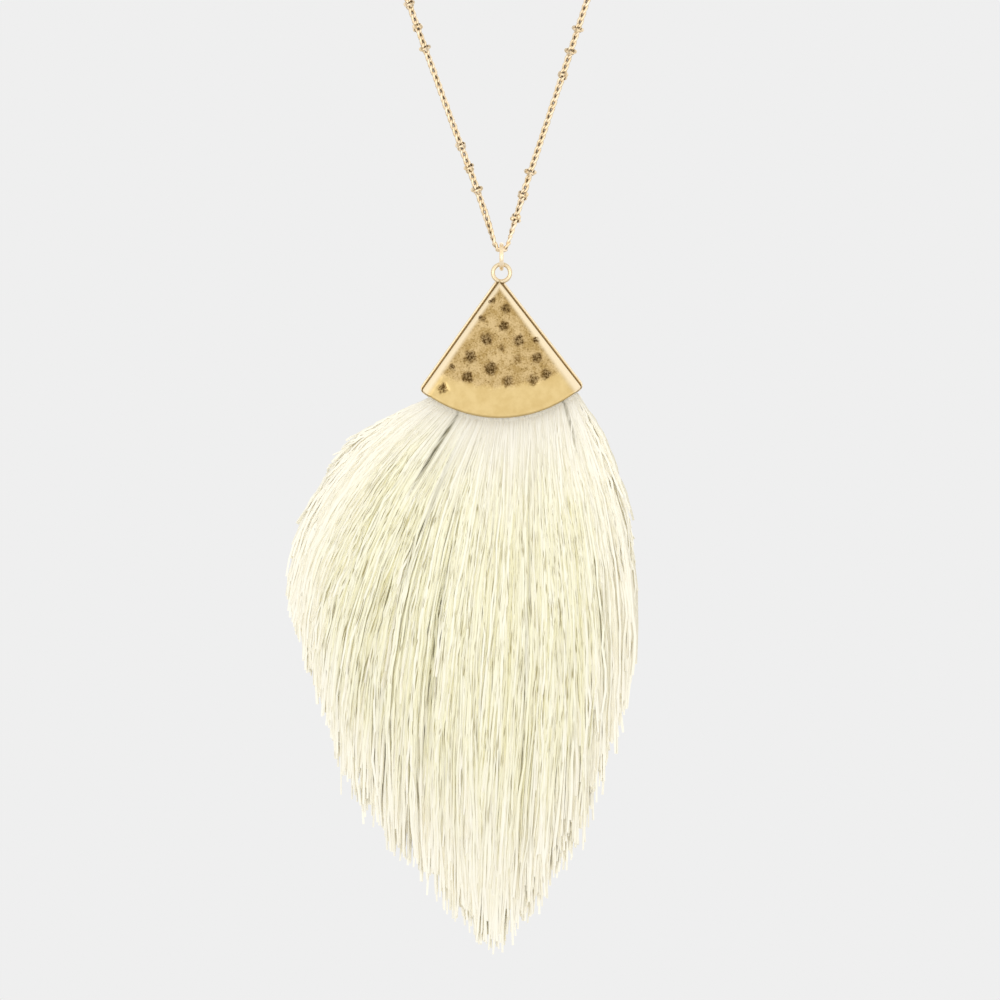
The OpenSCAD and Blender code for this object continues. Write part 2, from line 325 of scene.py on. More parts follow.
class Value:
    """Output of a node as a number; arithmetic on it adds Math nodes."""

    def __init__(self, nodes: "Nodes", socket: Socket) -> None:
        """Wraps a socket of a node."""
        self.nodes = nodes
        self.socket = socket

    def _with(self, operation: str, *values: "Value | float") -> "Value":
        """Result of a Math node on these values."""
        return self.nodes.value("Math", {"operation": operation}, dict(enumerate(values)))

    def __add__(self, other: "Value | float") -> "Value":
        """Sum."""
        return self._with("ADD", self, other)

    __radd__ = __add__

    def __sub__(self, other: "Value | float") -> "Value":
        """Difference."""
        return self._with("SUBTRACT", self, other)

    def __rsub__(self, other: float) -> "Value":
        """Difference from a number on the left."""
        return self._with("SUBTRACT", other, self)

    def __mul__(self, other: "Value | float") -> "Value":
        """Product."""
        return self._with("MULTIPLY", self, other)

    __rmul__ = __mul__

    def blend(self, share: float, other: "Value") -> "Value":
        """A share of this value and the rest of another."""
        return self * share + other * (1 - share)

    def step(self, low: float, high: float) -> "Value":
        """0 at low and 1 at high, with a smooth slope between them."""
        return self.nodes.value("MapRange", {"interpolation_type": "SMOOTHSTEP"},
                                {"Value": self, "From Min": low, "From Max": high})


class Nodes:
    """The node tree of a material or a world, made from nothing."""

    def __init__(self, owner: bpy.types.ID) -> None:
        """Turns on nodes and clears them.

        Args:
            owner: the material or world.
        """
        owner.use_nodes = True
        self.tree = owner.node_tree
        self.tree.nodes.clear()

    def node(self, kind: str, settings: Settings, inputs: Inputs) -> bpy.types.Node:
        """Adds a node.

        Args:
            kind: type of the node, without its ShaderNode prefix.
            settings: its properties, which are set first.
            inputs: the values or links of its sockets, by name or number.

        Returns:
            The new node.
        """
        node = self.tree.nodes.new("ShaderNode" + kind)
        for key, setting in settings.items():
            setattr(node, key, setting)
        for key, given in inputs.items():
            socket = node.inputs[key]
            given = given.socket if isinstance(given, Value) else given
            if isinstance(given, Socket):
                self.tree.links.new(given, socket)
            else:
                wide = socket.type == "RGBA" and len(given) == 3
                socket.default_value = (*given, 1) if wide else given
        return node

    def value(self, kind: str, settings: Settings, inputs: Inputs) -> Value:
        """Adds a node and gives its first output as a number."""
        return Value(self, self.node(kind, settings, inputs).outputs[0])


class Shader(Nodes):
    """One material being made: a Principled surface and the nodes that feed it."""

    def __init__(self, name: str) -> None:
        """Starts a material.

        Args:
            name: its name.
        """
        self.material = bpy.data.materials.new(name)
        super().__init__(self.material)
        self.surface = self.node("BsdfPrincipled", {}, {})
        self.node("OutputMaterial", {}, {"Surface": self.surface.outputs[0]})

    def attribute(self, name: str) -> Value:
        """Number that the mesh holds at its points."""
        node = self.node("Attribute", {"attribute_name": name}, {})
        return Value(self, node.outputs["Fac"])

    def scaled(self, source: Socket, scale: Triple) -> Socket:
        """A vector times another, axis by axis."""
        node = self.node("VectorMath", {"operation": "MULTIPLY"}, {0: source, 1: scale})
        return node.outputs[0]

    def place(self) -> Socket:
        """Object coordinates in millimetres."""
        source = self.node("TexCoord", {}, {}).outputs["Object"]
        return self.scaled(source, (1 / MM,) * 3)

    def noise(self, at: Socket, per_mm: float, detail: float = 3,
              rough: float = 0.55) -> Value:
        """Noise of a number of cells to the millimetre."""
        return self.value("TexNoise", {}, {"Vector": at, "Scale": per_mm,
                                           "Detail": detail, "Roughness": rough})

    def mix(self, share: Value | float, first: object, second: object) -> Socket:
        """Colour between two others."""
        return self.node("Mix", {"data_type": "RGBA"},
                         {"Factor": share, 6: first, 7: second}).outputs[2]

    def fix(self, name: str, constant: float) -> None:
        """Sets a constant on the surface's own socket."""
        self.surface.inputs[name].default_value = constant

    def feed(self, name: str, source: Value | Socket) -> None:
        """Links a varying value or colour to a socket of the surface."""
        socket = source.socket if isinstance(source, Value) else source
        self.tree.links.new(socket, self.surface.inputs[name])

    def bump(self, height: Value, depth: float) -> None:
        """Feeds the surface's normal from a height in shares of a depth in millimetres."""
        node = self.node("Bump", {}, {"Height": height, "Distance": depth * MM})
        self.feed("Normal", node.outputs[0])


class Finish:
    """A finish, whose own sizes and colours paint a material."""

    def paint(self, shader: Shader) -> None:
        """Feeds the material's surface; each finish has its own."""
        raise NotImplementedError

    def make(self, name: str) -> Material:
        """Makes the material.

        Args:
            name: its name.

        Returns:
            The painted material.
        """
        shader = Shader(name)
        self.paint(shader)
        return shader.material


@dataclass(frozen=True)
class BrightGold(Finish):
    """Polished gold-tone plating, with painted shade where the wires of the links meet."""

    bright: Triple = (0.98, 0.83, 0.62)
    warm: Triple = (0.92, 0.74, 0.48)
    # hollow: colour of the shade painted on the hollow side of the wires, where the links meet
    hollow: Triple = (0.16, 0.10, 0.045)
    tone_cells: float = 0.6
    tone_edge: Pair = (0.35, 0.65)
    hollow_shade_edge: Pair = (0.45, 0.95)
    grain_cells: float = 5
    grain_depth: float = 0.02
    roughness: float = 0.26
    rough_grain: float = 0.18
    rough_hollow: float = 0.3

    def paint(self, shader: Shader) -> None:
        """Paints the plating; the attribute inside is 1 on the hollow side of a wire, where shade
        is painted.

        Args:
            shader: the material's nodes.
        """
        shader.fix("Metallic", 1)
        at = shader.place()
        inside = shader.attribute("inside")
        tone = shader.noise(at, self.tone_cells).step(*self.tone_edge)
        gold = shader.mix(tone, self.bright, self.warm)
        # Painted shade: the gold turns to the hollow colour on the hollow side of the wires
        shader.feed("Base Color",
                    shader.mix(inside.step(*self.hollow_shade_edge), gold, self.hollow))
        grain = shader.noise(at, self.grain_cells)
        shader.feed("Roughness", self.roughness + self.rough_grain * grain
                    + self.rough_hollow * inside)
        shader.bump(grain, self.grain_depth)


@dataclass(frozen=True)
class AntiqueGold(Finish):
    """Antiqued gold plating: matt and mottled face, dark dents, polished edges, and painted shade
    in the groove and along the lower edge.
    """

    face_light: Triple = (0.59, 0.44, 0.225)
    face_dark: Triple = (0.40, 0.27, 0.10)
    halo: Triple = (0.24, 0.145, 0.045)
    dent: Triple = (0.075, 0.038, 0.009)
    band: Triple = (0.70, 0.53, 0.25)
    band_deep: Triple = (0.62, 0.45, 0.19)
    edge: Triple = (0.82, 0.69, 0.48)
    # groove: colour of the shade painted in the groove and along the front's lower edge
    groove: Triple = (0.42, 0.31, 0.16)
    # Noises: cells to the millimetre, detail and roughness
    clouds: Triple = (0.4, 4, 0.6)
    specks: Triple = (2.6, 3, 0.7)
    blots: Triple = (1.3, 3, 0.65)
    # Shares of the first of two noises, the specks or blots being the rest
    matt_clouds: float = 0.55
    pit_cloud_share: float = 0.5
    ragged_blots: float = 0.45
    # Where each mark fades in
    matt_edge: Pair = (0.4, 0.6)
    pit_specks: Pair = (0.56, 0.68)
    pit_clouds: Pair = (0.44, 0.58)
    band_edge: Pair = (0.3, 0.75)
    ragged_edge: Pair = (0.4, 0.62)
    halo_edge: Pair = (0, 0.4)
    dent_edge: Pair = (0.15, 0.75)
    # How dark the pits and halos are, and the least of a halo and of a dent
    pit_dark: float = 0.55
    halo_dark: float = 0.9
    halo_least: float = 0.3
    dent_least: float = 0.2
    roughness: float = 0.46
    # What the specks, the polish and the dents add to the roughness
    rough_shares: Triple = (0.12, 0.18, 0.2)
    bump_clouds: float = 0.3
    bump_depth: float = 0.05

    def paint(self, shader: Shader) -> None:
        """Paints the plating from the attributes that the cap holds at its points.

        Args:
            shader: the material's nodes.
        """
        shader.fix("Metallic", 1)
        at = shader.place()
        band, edge, dent, groove = map(shader.attribute, ("band", "edge", "dent", "groove"))
        cloud, speck, blot = (shader.noise(at, *sizes)
                              for sizes in (self.clouds, self.specks, self.blots))
        mottled = cloud.blend(self.matt_clouds, speck).step(*self.matt_edge)
        matt = shader.mix(mottled, self.face_light, self.face_dark)
        holes = cloud.blend(self.pit_cloud_share, blot).step(*self.pit_clouds)
        pit = speck.step(*self.pit_specks) * holes
        matt = shader.mix(pit * self.pit_dark, matt, self.dent)
        rubbed = shader.mix(cloud.step(*self.band_edge), self.band, self.band_deep)
        colour = shader.mix(edge, shader.mix(band, matt, rubbed), self.edge)
        ragged = blot.blend(self.ragged_blots, speck).step(*self.ragged_edge)
        halo = dent.step(*self.halo_edge) * (self.halo_least + (1 - self.halo_least) * ragged)
        colour = shader.mix(halo * self.halo_dark, colour, self.halo)
        deep = dent.step(*self.dent_edge) * (self.dent_least + (1 - self.dent_least) * ragged)
        colour = shader.mix(deep, colour, self.dent)
        # Painted shade: the groove attribute darkens the groove and the front's lower edge
        shader.feed("Base Color", shader.mix(groove, colour, self.groove))
        smooth = (band + edge).step(0, 1)
        rough_speck, polish, rough_dent = self.rough_shares
        shader.feed("Roughness", self.roughness + rough_speck * speck - polish * smooth
                    + rough_dent * dent)
        shader.bump((speck + blot) * (1 - smooth) + self.bump_clouds * cloud, self.bump_depth)


@dataclass(frozen=True)
class Silk(Finish):
    """Silky cream threads, whiter near the cap and yellower towards their ends, with painted
    shadow in dashes and partings and a painted glow at the tips and sides.
    """

    root: Triple = (0.84, 0.81, 0.72)
    pale: Triple = (0.88, 0.86, 0.73)
    deep: Triple = (0.86, 0.83, 0.61)
    # tip: painted glow, standing for light shining through the threads at their tips and at the
    # tassel's sides
    tip: Triple = (0.90, 0.87, 0.76)
    # dash: painted shadow, standing for the shaded gaps between threads
    dash_shadow: Triple = (0.38, 0.33, 0.16)
    # crevice: painted shade deep in the partings between tufts
    parting_shade: Triple = (0.26, 0.23, 0.13)
    roughness: float = 0.45
    specular: float = 0.3
    # Cells of the dashes of painted shadow across all threads and along one
    dash_cells: Triple = (900, 13, 0)
    dash_edge: Pair = (0.62, 0.67)
    # Shares of a thread between which the dashes of painted shadow and the colour begin, and the
    # tip pales with a painted glow
    dash_start: Pair = (0.05, 0.25)
    colour_start: Pair = (0.02, 0.4)
    tip_start: Pair = (1, 0.75)

    def paint(self, shader: Shader) -> None:
        """Paints the threads; U is a thread's own number and V the share along it.

        The attribute gap is 1 deep in a parting, where shade is painted, and outer is 1 at the
        tassel's sides, where a glow is painted.

        Args:
            shader: the material's nodes.
        """
        shader.fix("Roughness", self.roughness)
        shader.fix("Specular IOR Level", self.specular)
        uv = shader.node("UVMap", {"uv_map": "UVMap"}, {}).outputs[0]
        split = shader.node("SeparateXYZ", {}, {0: uv}).outputs
        own, along = Value(shader, split[0]), Value(shader, split[1])
        # Painted shadow: sparse dark dashes along the threads stand for the shade in the gaps
        # between them
        shadow_marks = shader.noise(shader.scaled(uv, self.dash_cells), 1, 1).step(*self.dash_edge)
        # Painted glow: threads turn to the tip colour at their tips and at the tassel's sides,
        # standing for light shining through them
        inner = along.step(*self.tip_start) * (1 - shader.attribute("outer"))
        body = shader.mix(inner, self.tip, shader.mix(own, self.pale, self.deep))
        shadow_dashes = shadow_marks * along.step(*self.dash_start) * inner
        body = shader.mix(shadow_dashes, body, self.dash_shadow)
        colour = shader.mix(along.step(*self.colour_start), self.root, body)
        # Painted shade: the colour darkens deep in a parting
        shader.feed("Base Color", shader.mix(shader.attribute("gap"), colour, self.parting_shade))


@dataclass(frozen=True)
class Paper(Finish):
    """Plain pale floor."""

    pale: Triple = (0.79, 0.785, 0.785)
    shade: Triple = (0.77, 0.765, 0.765)
    roughness: float = 0.8
    tone_cells: float = 0.004

    def paint(self, shader: Shader) -> None:
        """Paints the floor with two tones that hardly differ.

        Args:
            shader: the material's nodes.
        """
        shader.fix("Roughness", self.roughness)
        tone = shader.noise(shader.place(), self.tone_cells)
        shader.feed("Base Color", shader.mix(tone, self.pale, self.shade))


def dress(piece: Piece, material: Material) -> None:
    """Puts one material on a piece.

    Args:
        piece: a new piece or a CAD node.
        material: its finish.
    """
    piece.data.materials.clear()
    piece.data.materials.append(material)


# The chain


@dataclass(frozen=True)
class Route:
    """Middle line of the chain: the points chosen for the neck and the hanging stretch."""

    drop: Triple = (0, -108, -300)
    neck: Table = (
        (22, -2.5, -0.8), (40, -10.5, -3), (53, -25, -7), (59.5, -44, -12),
        (61, -64, -19), (59.5, -83, -29), (57, -98, -43))
    # Height above the drop, reach to the left, reach to the right
    fall: Table = (
        (232, 53.6, 53), (196, 50.4, 49.2), (160, 45.6, 44), (125, 39.2, 37.4),
        (92, 31.4, 29.4), (62, 22.9, 21), (36, 13.7, 12.6), (14, 5.6, 5.3))
    chain_end_x: float = 7.1
    bend_radius: float = 1.375
    neck_middle_y: float = -55
    steps: int = 24
    bend_steps: int = 16

    def below(self, depth: float) -> Array:
        """The point at a depth below the chain's lowest one."""
        return np.array(self.drop) - [0, 0, depth]

    def chosen(self, side: int) -> Array:
        """Points chosen for one side, from the clasp down.

        Args:
            side: 1 for the right and -1 for the left.

        Returns:
            The points.
        """
        neck = np.array([(self.chain_end_x, 0, 0), *self.neck]) * [side, 1, 1]
        fall = np.array(self.fall)
        reach = side * fall[:, 2 if side > 0 else 1]
        hang = np.stack([reach, 0 * reach + self.drop[1], self.drop[2] + fall[:, 0]], axis=1)
        return np.concatenate([neck, hang])

    def line(self, side: int) -> Array:
        """One side's middle line, from the lowest point up to the clasp.

        The hanging strand runs straight off the circle that the chain bends round, and
        a Catmull-Rom curve goes through the chosen points.

        Args:
            side: 1 for the right and -1 for the left.

        Returns:
            Points of the line.
        """
        chosen, middle = self.chosen(side), self.below(-self.bend_radius)
        across, up = abs(chosen[-1, 0]), chosen[-1, 2] - middle[2]
        leaves = math.atan2(up, across) - math.acos(self.bend_radius / math.hypot(across, up))
        a = np.linspace(-math.pi / 2, leaves, self.bend_steps)
        bend = middle + self.bend_radius * np.stack(
            [side * np.cos(a), 0 * a, np.sin(a)], axis=1)
        p = np.concatenate([chosen, bend[-1:]])
        before = np.concatenate([p[:1], p[:-2]])[:, None]
        here, there = p[:-1, None], p[1:, None]
        after = np.concatenate([p[2:], p[-1:]])[:, None]
        t = np.linspace(0, 1, self.steps, endpoint=False)[None, :, None]
        curve = 0.5 * (2 * here + (there - before) * t
                       + (2 * before - 5 * here + 4 * there - after) * t ** 2
                       + (3 * here - before - 3 * there + after) * t ** 3)
        return np.concatenate([bend, curve.reshape(-1, 3)[::-1]])

    def away(self, points: Array) -> Array:
        """Direction away from the neck: round the neck at its side, to the front below.

        Args:
            points: places on the line.

        Returns:
            A unit vector for each.
        """
        x, y = points[:, 0], points[:, 1]
        share = np.clip((y - self.drop[1]) / (self.neck_middle_y - self.drop[1]), 0, 1)
        return unit(np.stack([x * share, y - self.neck_middle_y, 0 * y], axis=1))


@dataclass(frozen=True)
class Stretch:
    """One side of the chain measured along its line."""

    line: Array
    length_at: Array

    @classmethod
    def along(cls, line: Array, run_on: float) -> "Stretch":
        """Measures a line and runs its end straight on.

        Args:
            line: points of the line.
            run_on: how far its end runs on.

        Returns:
            The measured line.
        """
        line = np.concatenate([line, line[-1:] + run_on * unit(line[-1:] - line[-2:-1])])
        parts = np.linalg.norm(np.diff(line, axis=0), axis=1)
        return cls(line, np.concatenate([[0], np.cumsum(parts)]))

    def at(self, s: Array) -> Array:
        """Points at distances along the line."""
        return np.stack([np.interp(s, self.length_at, axis) for axis in self.line.T], axis=1)


@dataclass(frozen=True)
class Seats:
    """Where the links sit: their middles, directions of length, width and flat normal,
    and whether they carry a knot."""

    middle: Array
    axes: tuple[Array, Array, Array]
    knots: Array

    def knotted(self) -> "Seats":
        """The seats of the links that carry a knot."""
        return Seats(self.middle[self.knots], tuple(a[self.knots] for a in self.axes),
                     self.knots[self.knots])

    def put(self, shape: Array) -> Array:
        """Puts a shape about the origin at every seat.

        Args:
            shape: its points, either the same for all or a set for each seat.

        Returns:
            All points in one row.
        """
        x, y, z = (a[:, None] for a in self.axes)
        return (self.middle[:, None] + shape[..., :1] * x + shape[..., 1:2] * y
                + shape[..., 2:] * z).reshape(-1, 3)


@dataclass(frozen=True)
class Chain:
    """Fine curb chain of twisted oval links, with knots of granules in groups of three."""

    gold: Material
    route: Route = Route()
    wire: float = 0.6
    half_width: float = 0.5
    half_length: float = 1.115
    knot_link_extra: float = 0.185
    squareness: float = 2.6
    inner_swell: float = 1.55
    twist: float = 45
    # Degrees that the links are turned: at the ring, on the strands, and by chance
    ring_turn: float = 90
    roll: float = 24
    roll_spread: float = 7
    roll_within: float = 12
    roll_seed: int = 11
    link_steps: int = 12
    wire_sides: int = 5
    link_pitch: float = 1.63
    knot_pitch: float = 2.0
    links_in_group: int = 2
    links_between_groups: int = 13
    links_to_first_knot: int = 4
    turning_links: int = 8
    end_link_x: float = 7.07
    granule: float = 1.1
    granule_reach: float = 0.9
    granule_spread: float = 0.5
    granule_least_spread: float = 0.4
    granule_growth: float = 0.1
    granule_turn: float = 30
    granules: int = 4
    granule_seed: int = 2
    collar_wire: float = 0.36
    collar_stretch: float = 0.9
    collar_reach: float = 0.84
    collar_steps: int = 14
    bead_steps: int = 10
    # Beyond the collar's reach, where the shade painted in the hollow ends and where it is full
    hollow: Pair = (0.35, -0.1)

    def places(self, first_links: int, length: float) -> tuple[Array, Array]:
        """Distances of the link middles up one side, after the lowest link.

        Args:
            first_links: plain links below the first knot.
            length: distance of the last link from the lowest one.

        Returns:
            The distances, and for each link whether it carries a knot.
        """
        group = [True] + [False] * self.links_in_group
        cycle = group * 2 + [True] + [False] * self.links_between_groups
        count = int(length / self.link_pitch)
        knots = np.array(([False] * first_links + cycle * (count // len(cycle) + 1))[:count])
        pitch = np.where(knots, self.knot_pitch, self.link_pitch)
        ends = self.link_pitch / 2 + np.cumsum(pitch)
        fits = ends < length + self.link_pitch
        middles, knots = (ends - pitch / 2)[fits], knots[fits]
        last_knot = int(np.flatnonzero(knots)[-1])
        after = len(middles) - last_knot - 1
        middles[last_knot + 1:] += (length - middles[-1]) * np.arange(1, after + 1) / after
        return middles, knots

    def seats(self) -> Seats:
        """Seats of all links; each lies along the chord of its own stretch of the line.

        Returns:
            The seats, up the right side and then up the left.
        """
        rows: list[tuple[Array, ...]] = []
        random = np.random.default_rng(self.roll_seed)
        for side in (1, -1):
            stretch = Stretch.along(self.route.line(side), 2 * self.half_length)
            other = Stretch.along(self.route.line(-side), 0)
            whole = stretch.length_at[-1] - 2 * self.half_length
            first = self.links_to_first_knot if side > 0 else (
                self.links_between_groups - self.links_to_first_knot - 1)
            s, knots = self.places(first, whole + self.route.chain_end_x - self.end_link_x)
            if side > 0:
                s, knots = np.append(0, s), np.append(False, knots)
            half = self.half_length + self.knot_link_extra * knots
            start = np.where((s < half)[:, None], other.at(half - s), stretch.at(s - half))
            end = stretch.at(s + half)
            middle = (start + end) / 4 + stretch.at(s) / 2
            along = unit(end - start)
            normal = square_to(along, self.route.away(middle))
            turning = self.turning_links * self.link_pitch
            turn = np.radians(self.ring_turn * (1 - smooth_step(0, turning, s))
                              + side * self.roll * smooth_step(0, self.roll_within, s)
                              + random.normal(0, self.roll_spread, len(s)))[:, None]
            normal = normal * np.cos(turn) + np.cross(normal, along) * np.sin(turn)
            rows.append((middle, along, np.cross(normal, along), normal, knots))
        middle, *axes, knots = (np.concatenate(column) for column in zip(*rows))
        return Seats(middle, tuple(axes), knots)

    def link(self) -> tuple[Array, Array]:
        """One link about its own middle: an oval wire, twisted along its length.

        The oval is x = a cos^(2/n), y = b sin^(2/n), then turned about its length by the
        twist times x/a. The wire's section is a circle that swells towards the hollow.

        Returns:
            Points as length, width and normal shares in millimetres, and 1 for each point
            on the hollow side of the wire, where the finish paints shade.
        """
        bare = on_circle(angles(self.link_steps) + np.pi / self.link_steps)
        half = [self.half_length, self.half_width]
        x, y = (half * np.sign(bare) * np.abs(bare) ** (2 / self.squareness)).T
        angle = np.radians(self.twist) * x / self.half_length
        line = np.stack([x, y * np.cos(angle), y * np.sin(angle)], axis=1)
        tangent = unit(np.roll(line, -1, axis=0) - np.roll(line, 1, axis=0))
        out = square_to(tangent, line)[:, None]
        side = np.cross(tangent[:, None], out)
        v = angles(self.wire_sides)[None, :, None]
        swell = np.where(np.cos(v) < 0, self.inner_swell, 1.0)
        points = line[:, None] + self.wire / 2 * (swell * np.cos(v) * out + np.sin(v) * side)
        inside = np.broadcast_to(0.5 - 0.5 * np.cos(v), points.shape[:2] + (1,))
        return points.reshape(-1, 3), inside.reshape(-1)

    def links(self, seats: Seats) -> Piece:
        """Makes every link of the loop as one piece.

        Args:
            seats: where the links sit.

        Returns:
            The new piece.
        """
        shape, inside = self.link()
        count = len(seats.middle)
        longer = np.ones((count, 1, 3))
        longer[seats.knots, :, 0] += self.knot_link_extra / self.half_length
        faces = repeated(grid_faces(self.link_steps, self.wire_sides, True), len(shape), count)
        # inside carries the shade painted on the hollow side of each wire
        return Surface(seats.put(shape * longer), (faces,),
                       {"inside": np.tile(inside, count)}).piece("chain_links")

    def ball(self) -> tuple[Array, Array, Array]:
        """One granule about its own middle: a sphere of rows about the flat normal.

        Returns:
            Points, faces with four sides and faces with three.
        """
        steps, rows = self.bead_steps, self.bead_steps // 2
        w = ((np.arange(rows) + 0.5) / rows * np.pi)[:, None, None]
        points = np.concatenate([np.sin(w) * on_circle(angles(steps)),
                                 np.repeat(np.cos(w), steps, axis=1)], axis=-1)
        points = np.concatenate([points.reshape(-1, 3), [[0, 0, 1], [0, 0, -1]]])
        tips = [pole_faces(rows * steps, 0, steps, 1),
                pole_faces(rows * steps + 1, (rows - 1) * steps, steps, -1)]
        return self.granule / 2 * points, grid_faces(rows, steps), np.concatenate(tips)

    def knots(self, seats: Seats) -> Piece:
        """Makes the knots: a collar round the link and granules on it.

        Args:
            seats: where the links sit.

        Returns:
            The new piece.
        """
        seats = seats.knotted()
        count, n = len(seats.middle), self.granules
        u, v = angles(self.collar_steps)[:, None], angles(self.wire_sides)[None, :]
        reach = self.collar_reach + self.collar_wire / 2 * np.cos(v)
        collar = np.stack([self.collar_wire * self.collar_stretch * np.sin(v) + 0 * u,
                           reach * np.cos(u), reach * np.sin(u)], axis=-1).reshape(-1, 3)
        ball, quads, tips = self.ball()
        random = np.random.default_rng(self.granule_seed)
        turn = random.uniform(-self.granule_turn, self.granule_turn, (count, 1))
        spread = self.granule_spread * random.uniform(self.granule_least_spread, 1, (count, n))
        zigzag = spread * (1 - 2 * (np.arange(n) % 2))
        around = self.granule_reach * on_circle(np.radians(360 / n * np.arange(n) + turn))
        spots = np.concatenate([zigzag[..., None], around], axis=-1)
        size = random.uniform(1 - self.granule_growth, 1 + self.granule_growth,
                              (count, n, 1, 1))
        balls = (ball * size + spots[:, :, None]).reshape(count, -1, 3)
        shape = np.concatenate([np.broadcast_to(collar, (count, *collar.shape)), balls], axis=1)
        quads = np.concatenate([grid_faces(self.collar_steps, self.wire_sides, True),
                                len(collar) + repeated(quads, len(ball), n)])
        tips = len(collar) + repeated(tips, len(ball), n)
        # Painted shade: the knot darkens towards the link it sits on, in the crevices between
        # collar, granules and link
        bright, dark = (self.collar_reach + reach for reach in self.hollow)
        hollow = smooth_step(bright, dark, np.hypot(shape[..., 1], shape[..., 2]))
        faces = tuple(repeated(kind, shape.shape[1], count) for kind in (quads, tips))
        return Surface(seats.put(shape), faces,
                       {"inside": hollow.reshape(-1)}).piece("knot_granules")

    def build(self) -> list[Piece]:
        """Builds and dresses the chain and its knots.

        Returns:
            The new pieces.
        """
        seats = self.seats()
        links, knots = self.links(seats), self.knots(seats)
        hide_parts("chain")
        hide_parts("chain_knots")
        for piece in (links, knots):
            dress(piece, self.gold)
            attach(piece, Body.NECK_CHAIN.value)
        return [links, knots]


@dataclass(frozen=True)
class Findings:
    """The jump ring that the pendant hangs from, and the clasp at the nape."""

    gold: Material
    route: Route = Route()
    ring_radius: float = 2.725
    ring_wire: float = 0.95
    ring_below_drop: float = 1.35
    steps: int = 72
    sides: int = 16

    def build(self) -> list[Piece]:
        """Builds the ring and dresses the ring and the clasp.

        Returns:
            The pieces.
        """
        ring = torus(self.route.below(self.ring_below_drop), np.array([1.0, 0, 0]),
                     self.ring_radius, self.ring_wire, self.steps, self.sides)
        ring = ring.piece("ring_of_round_wire")
        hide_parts("jump_ring")
        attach(ring, Body.RING.value)
        clasp = frame["nodes"]["clasp"]
        for piece in (ring, clasp):
            dress(piece, self.gold)
        return [ring, clasp]


# The cap


class Level(Enum):
    """Faces of the cap that a line of its section lies on."""

    BACK = 0
    RIM = 1
    FRONT = 2


@dataclass(frozen=True)
class Fan:
    """Outline of the cap and its place below the loop."""

    side_angle: float = 36.6
    apex_drop: float = 0.6
    drop: float = 32.7
    edge_r: float = 28.2
    thick_low: float = 5.6
    thick_top: float = 2.6
    corner_r: float = 1.4
    least_r: float = 0.35
    rim_w: float = 0.85
    rim_foot: float = 0.2
    lean: float = 1.2
    offset: float = 0.5
    loop_below_drop: float = 4.95
    route: Route = Route()
    # Points of an outline on a side, a corner and half of the lower edge
    counts: tuple[int, int, int] = (130, 14, 105)

    @property
    def edge_z(self) -> float:
        """Height of the lower edge's centre."""
        return self.edge_r - self.drop

    @property
    def angle(self) -> float:
        """Angle of a straight side from the middle line, in radians."""
        return math.radians(self.side_angle)

    @property
    def loop(self) -> Array:
        """Where the loop's centre hangs."""
        return self.route.below(self.loop_below_drop)

    def hung(self, points: Array) -> Array:
        """Points about the loop, leaned and moved to where the cap hangs."""
        x, z = turned(points[:, 0], points[:, 2], self.lean)
        return np.stack([x, points[:, 1], z], axis=1) + self.loop

    def half_thickness(self, z: Array) -> Array:
        """Half of the thickness at a height below the loop."""
        return (self.thick_top + (self.thick_low - self.thick_top) * -z / self.drop) / 2

    def apex(self, inset: float) -> float:
        """Height at which the two sides, drawn in, would meet."""
        return -self.apex_drop - inset / math.sin(self.angle)

    def meet(self, inset: float, far: float) -> Array:
        """Where the right side, drawn in, is at a distance from the edge's centre.

        Args:
            inset: how far the side is drawn in.
            far: the distance.

        Returns:
            X and Z of that point.
        """
        start = self.apex(inset)
        d = self.edge_z - start
        s = -d * math.cos(self.angle) + math.sqrt(far ** 2 - (d * math.sin(self.angle)) ** 2)
        return np.array([s * math.sin(self.angle), start - s * math.cos(self.angle)])

    def from_side(self, x: Array, z: Array) -> Array:
        """Distance inside the nearer straight side."""
        return (-self.apex_drop - z) * math.sin(self.angle) - np.abs(x) * math.cos(self.angle)

    def from_edge(self, x: Array, z: Array) -> Array:
        """Distance inside the curved lower edge."""
        return self.edge_r - np.hypot(x, z - self.edge_z)

    def ring(self, inset: float) -> Array:
        """Closed outline drawn in by an inset, from the apex down the right side.

        The curved edge is drawn in less than the sides, as the rim is narrow there.

        Args:
            inset: distance inside the true sides.

        Returns:
            Points in X and Z, as many for any inset.
        """
        side_n, corner_n, edge_n = self.counts
        drawn = inset * self.rim_foot / self.rim_w
        if inset > self.rim_w:
            drawn = self.rim_foot + inset - self.rim_w
        r = max(self.corner_r - inset, self.least_r)
        corner = self.meet(inset + r, self.edge_r - drawn - r)
        last = math.atan2(corner[1] - self.edge_z, corner[0])
        apex = np.array([0, self.apex(inset)])
        foot = corner + r * on_circle(self.angle)
        t = np.linspace(0, 1, side_n, endpoint=False)[:, None]
        a = np.linspace(self.angle, last, corner_n, endpoint=False)
        b = np.linspace(last, -math.pi / 2, edge_n)
        half = np.concatenate([apex + (foot - apex) * t, corner + r * on_circle(a),
                               [0, self.edge_z] + (self.edge_r - drawn) * on_circle(b)])
        return np.concatenate([half, half[-2:0:-1] * [-1, 1]])


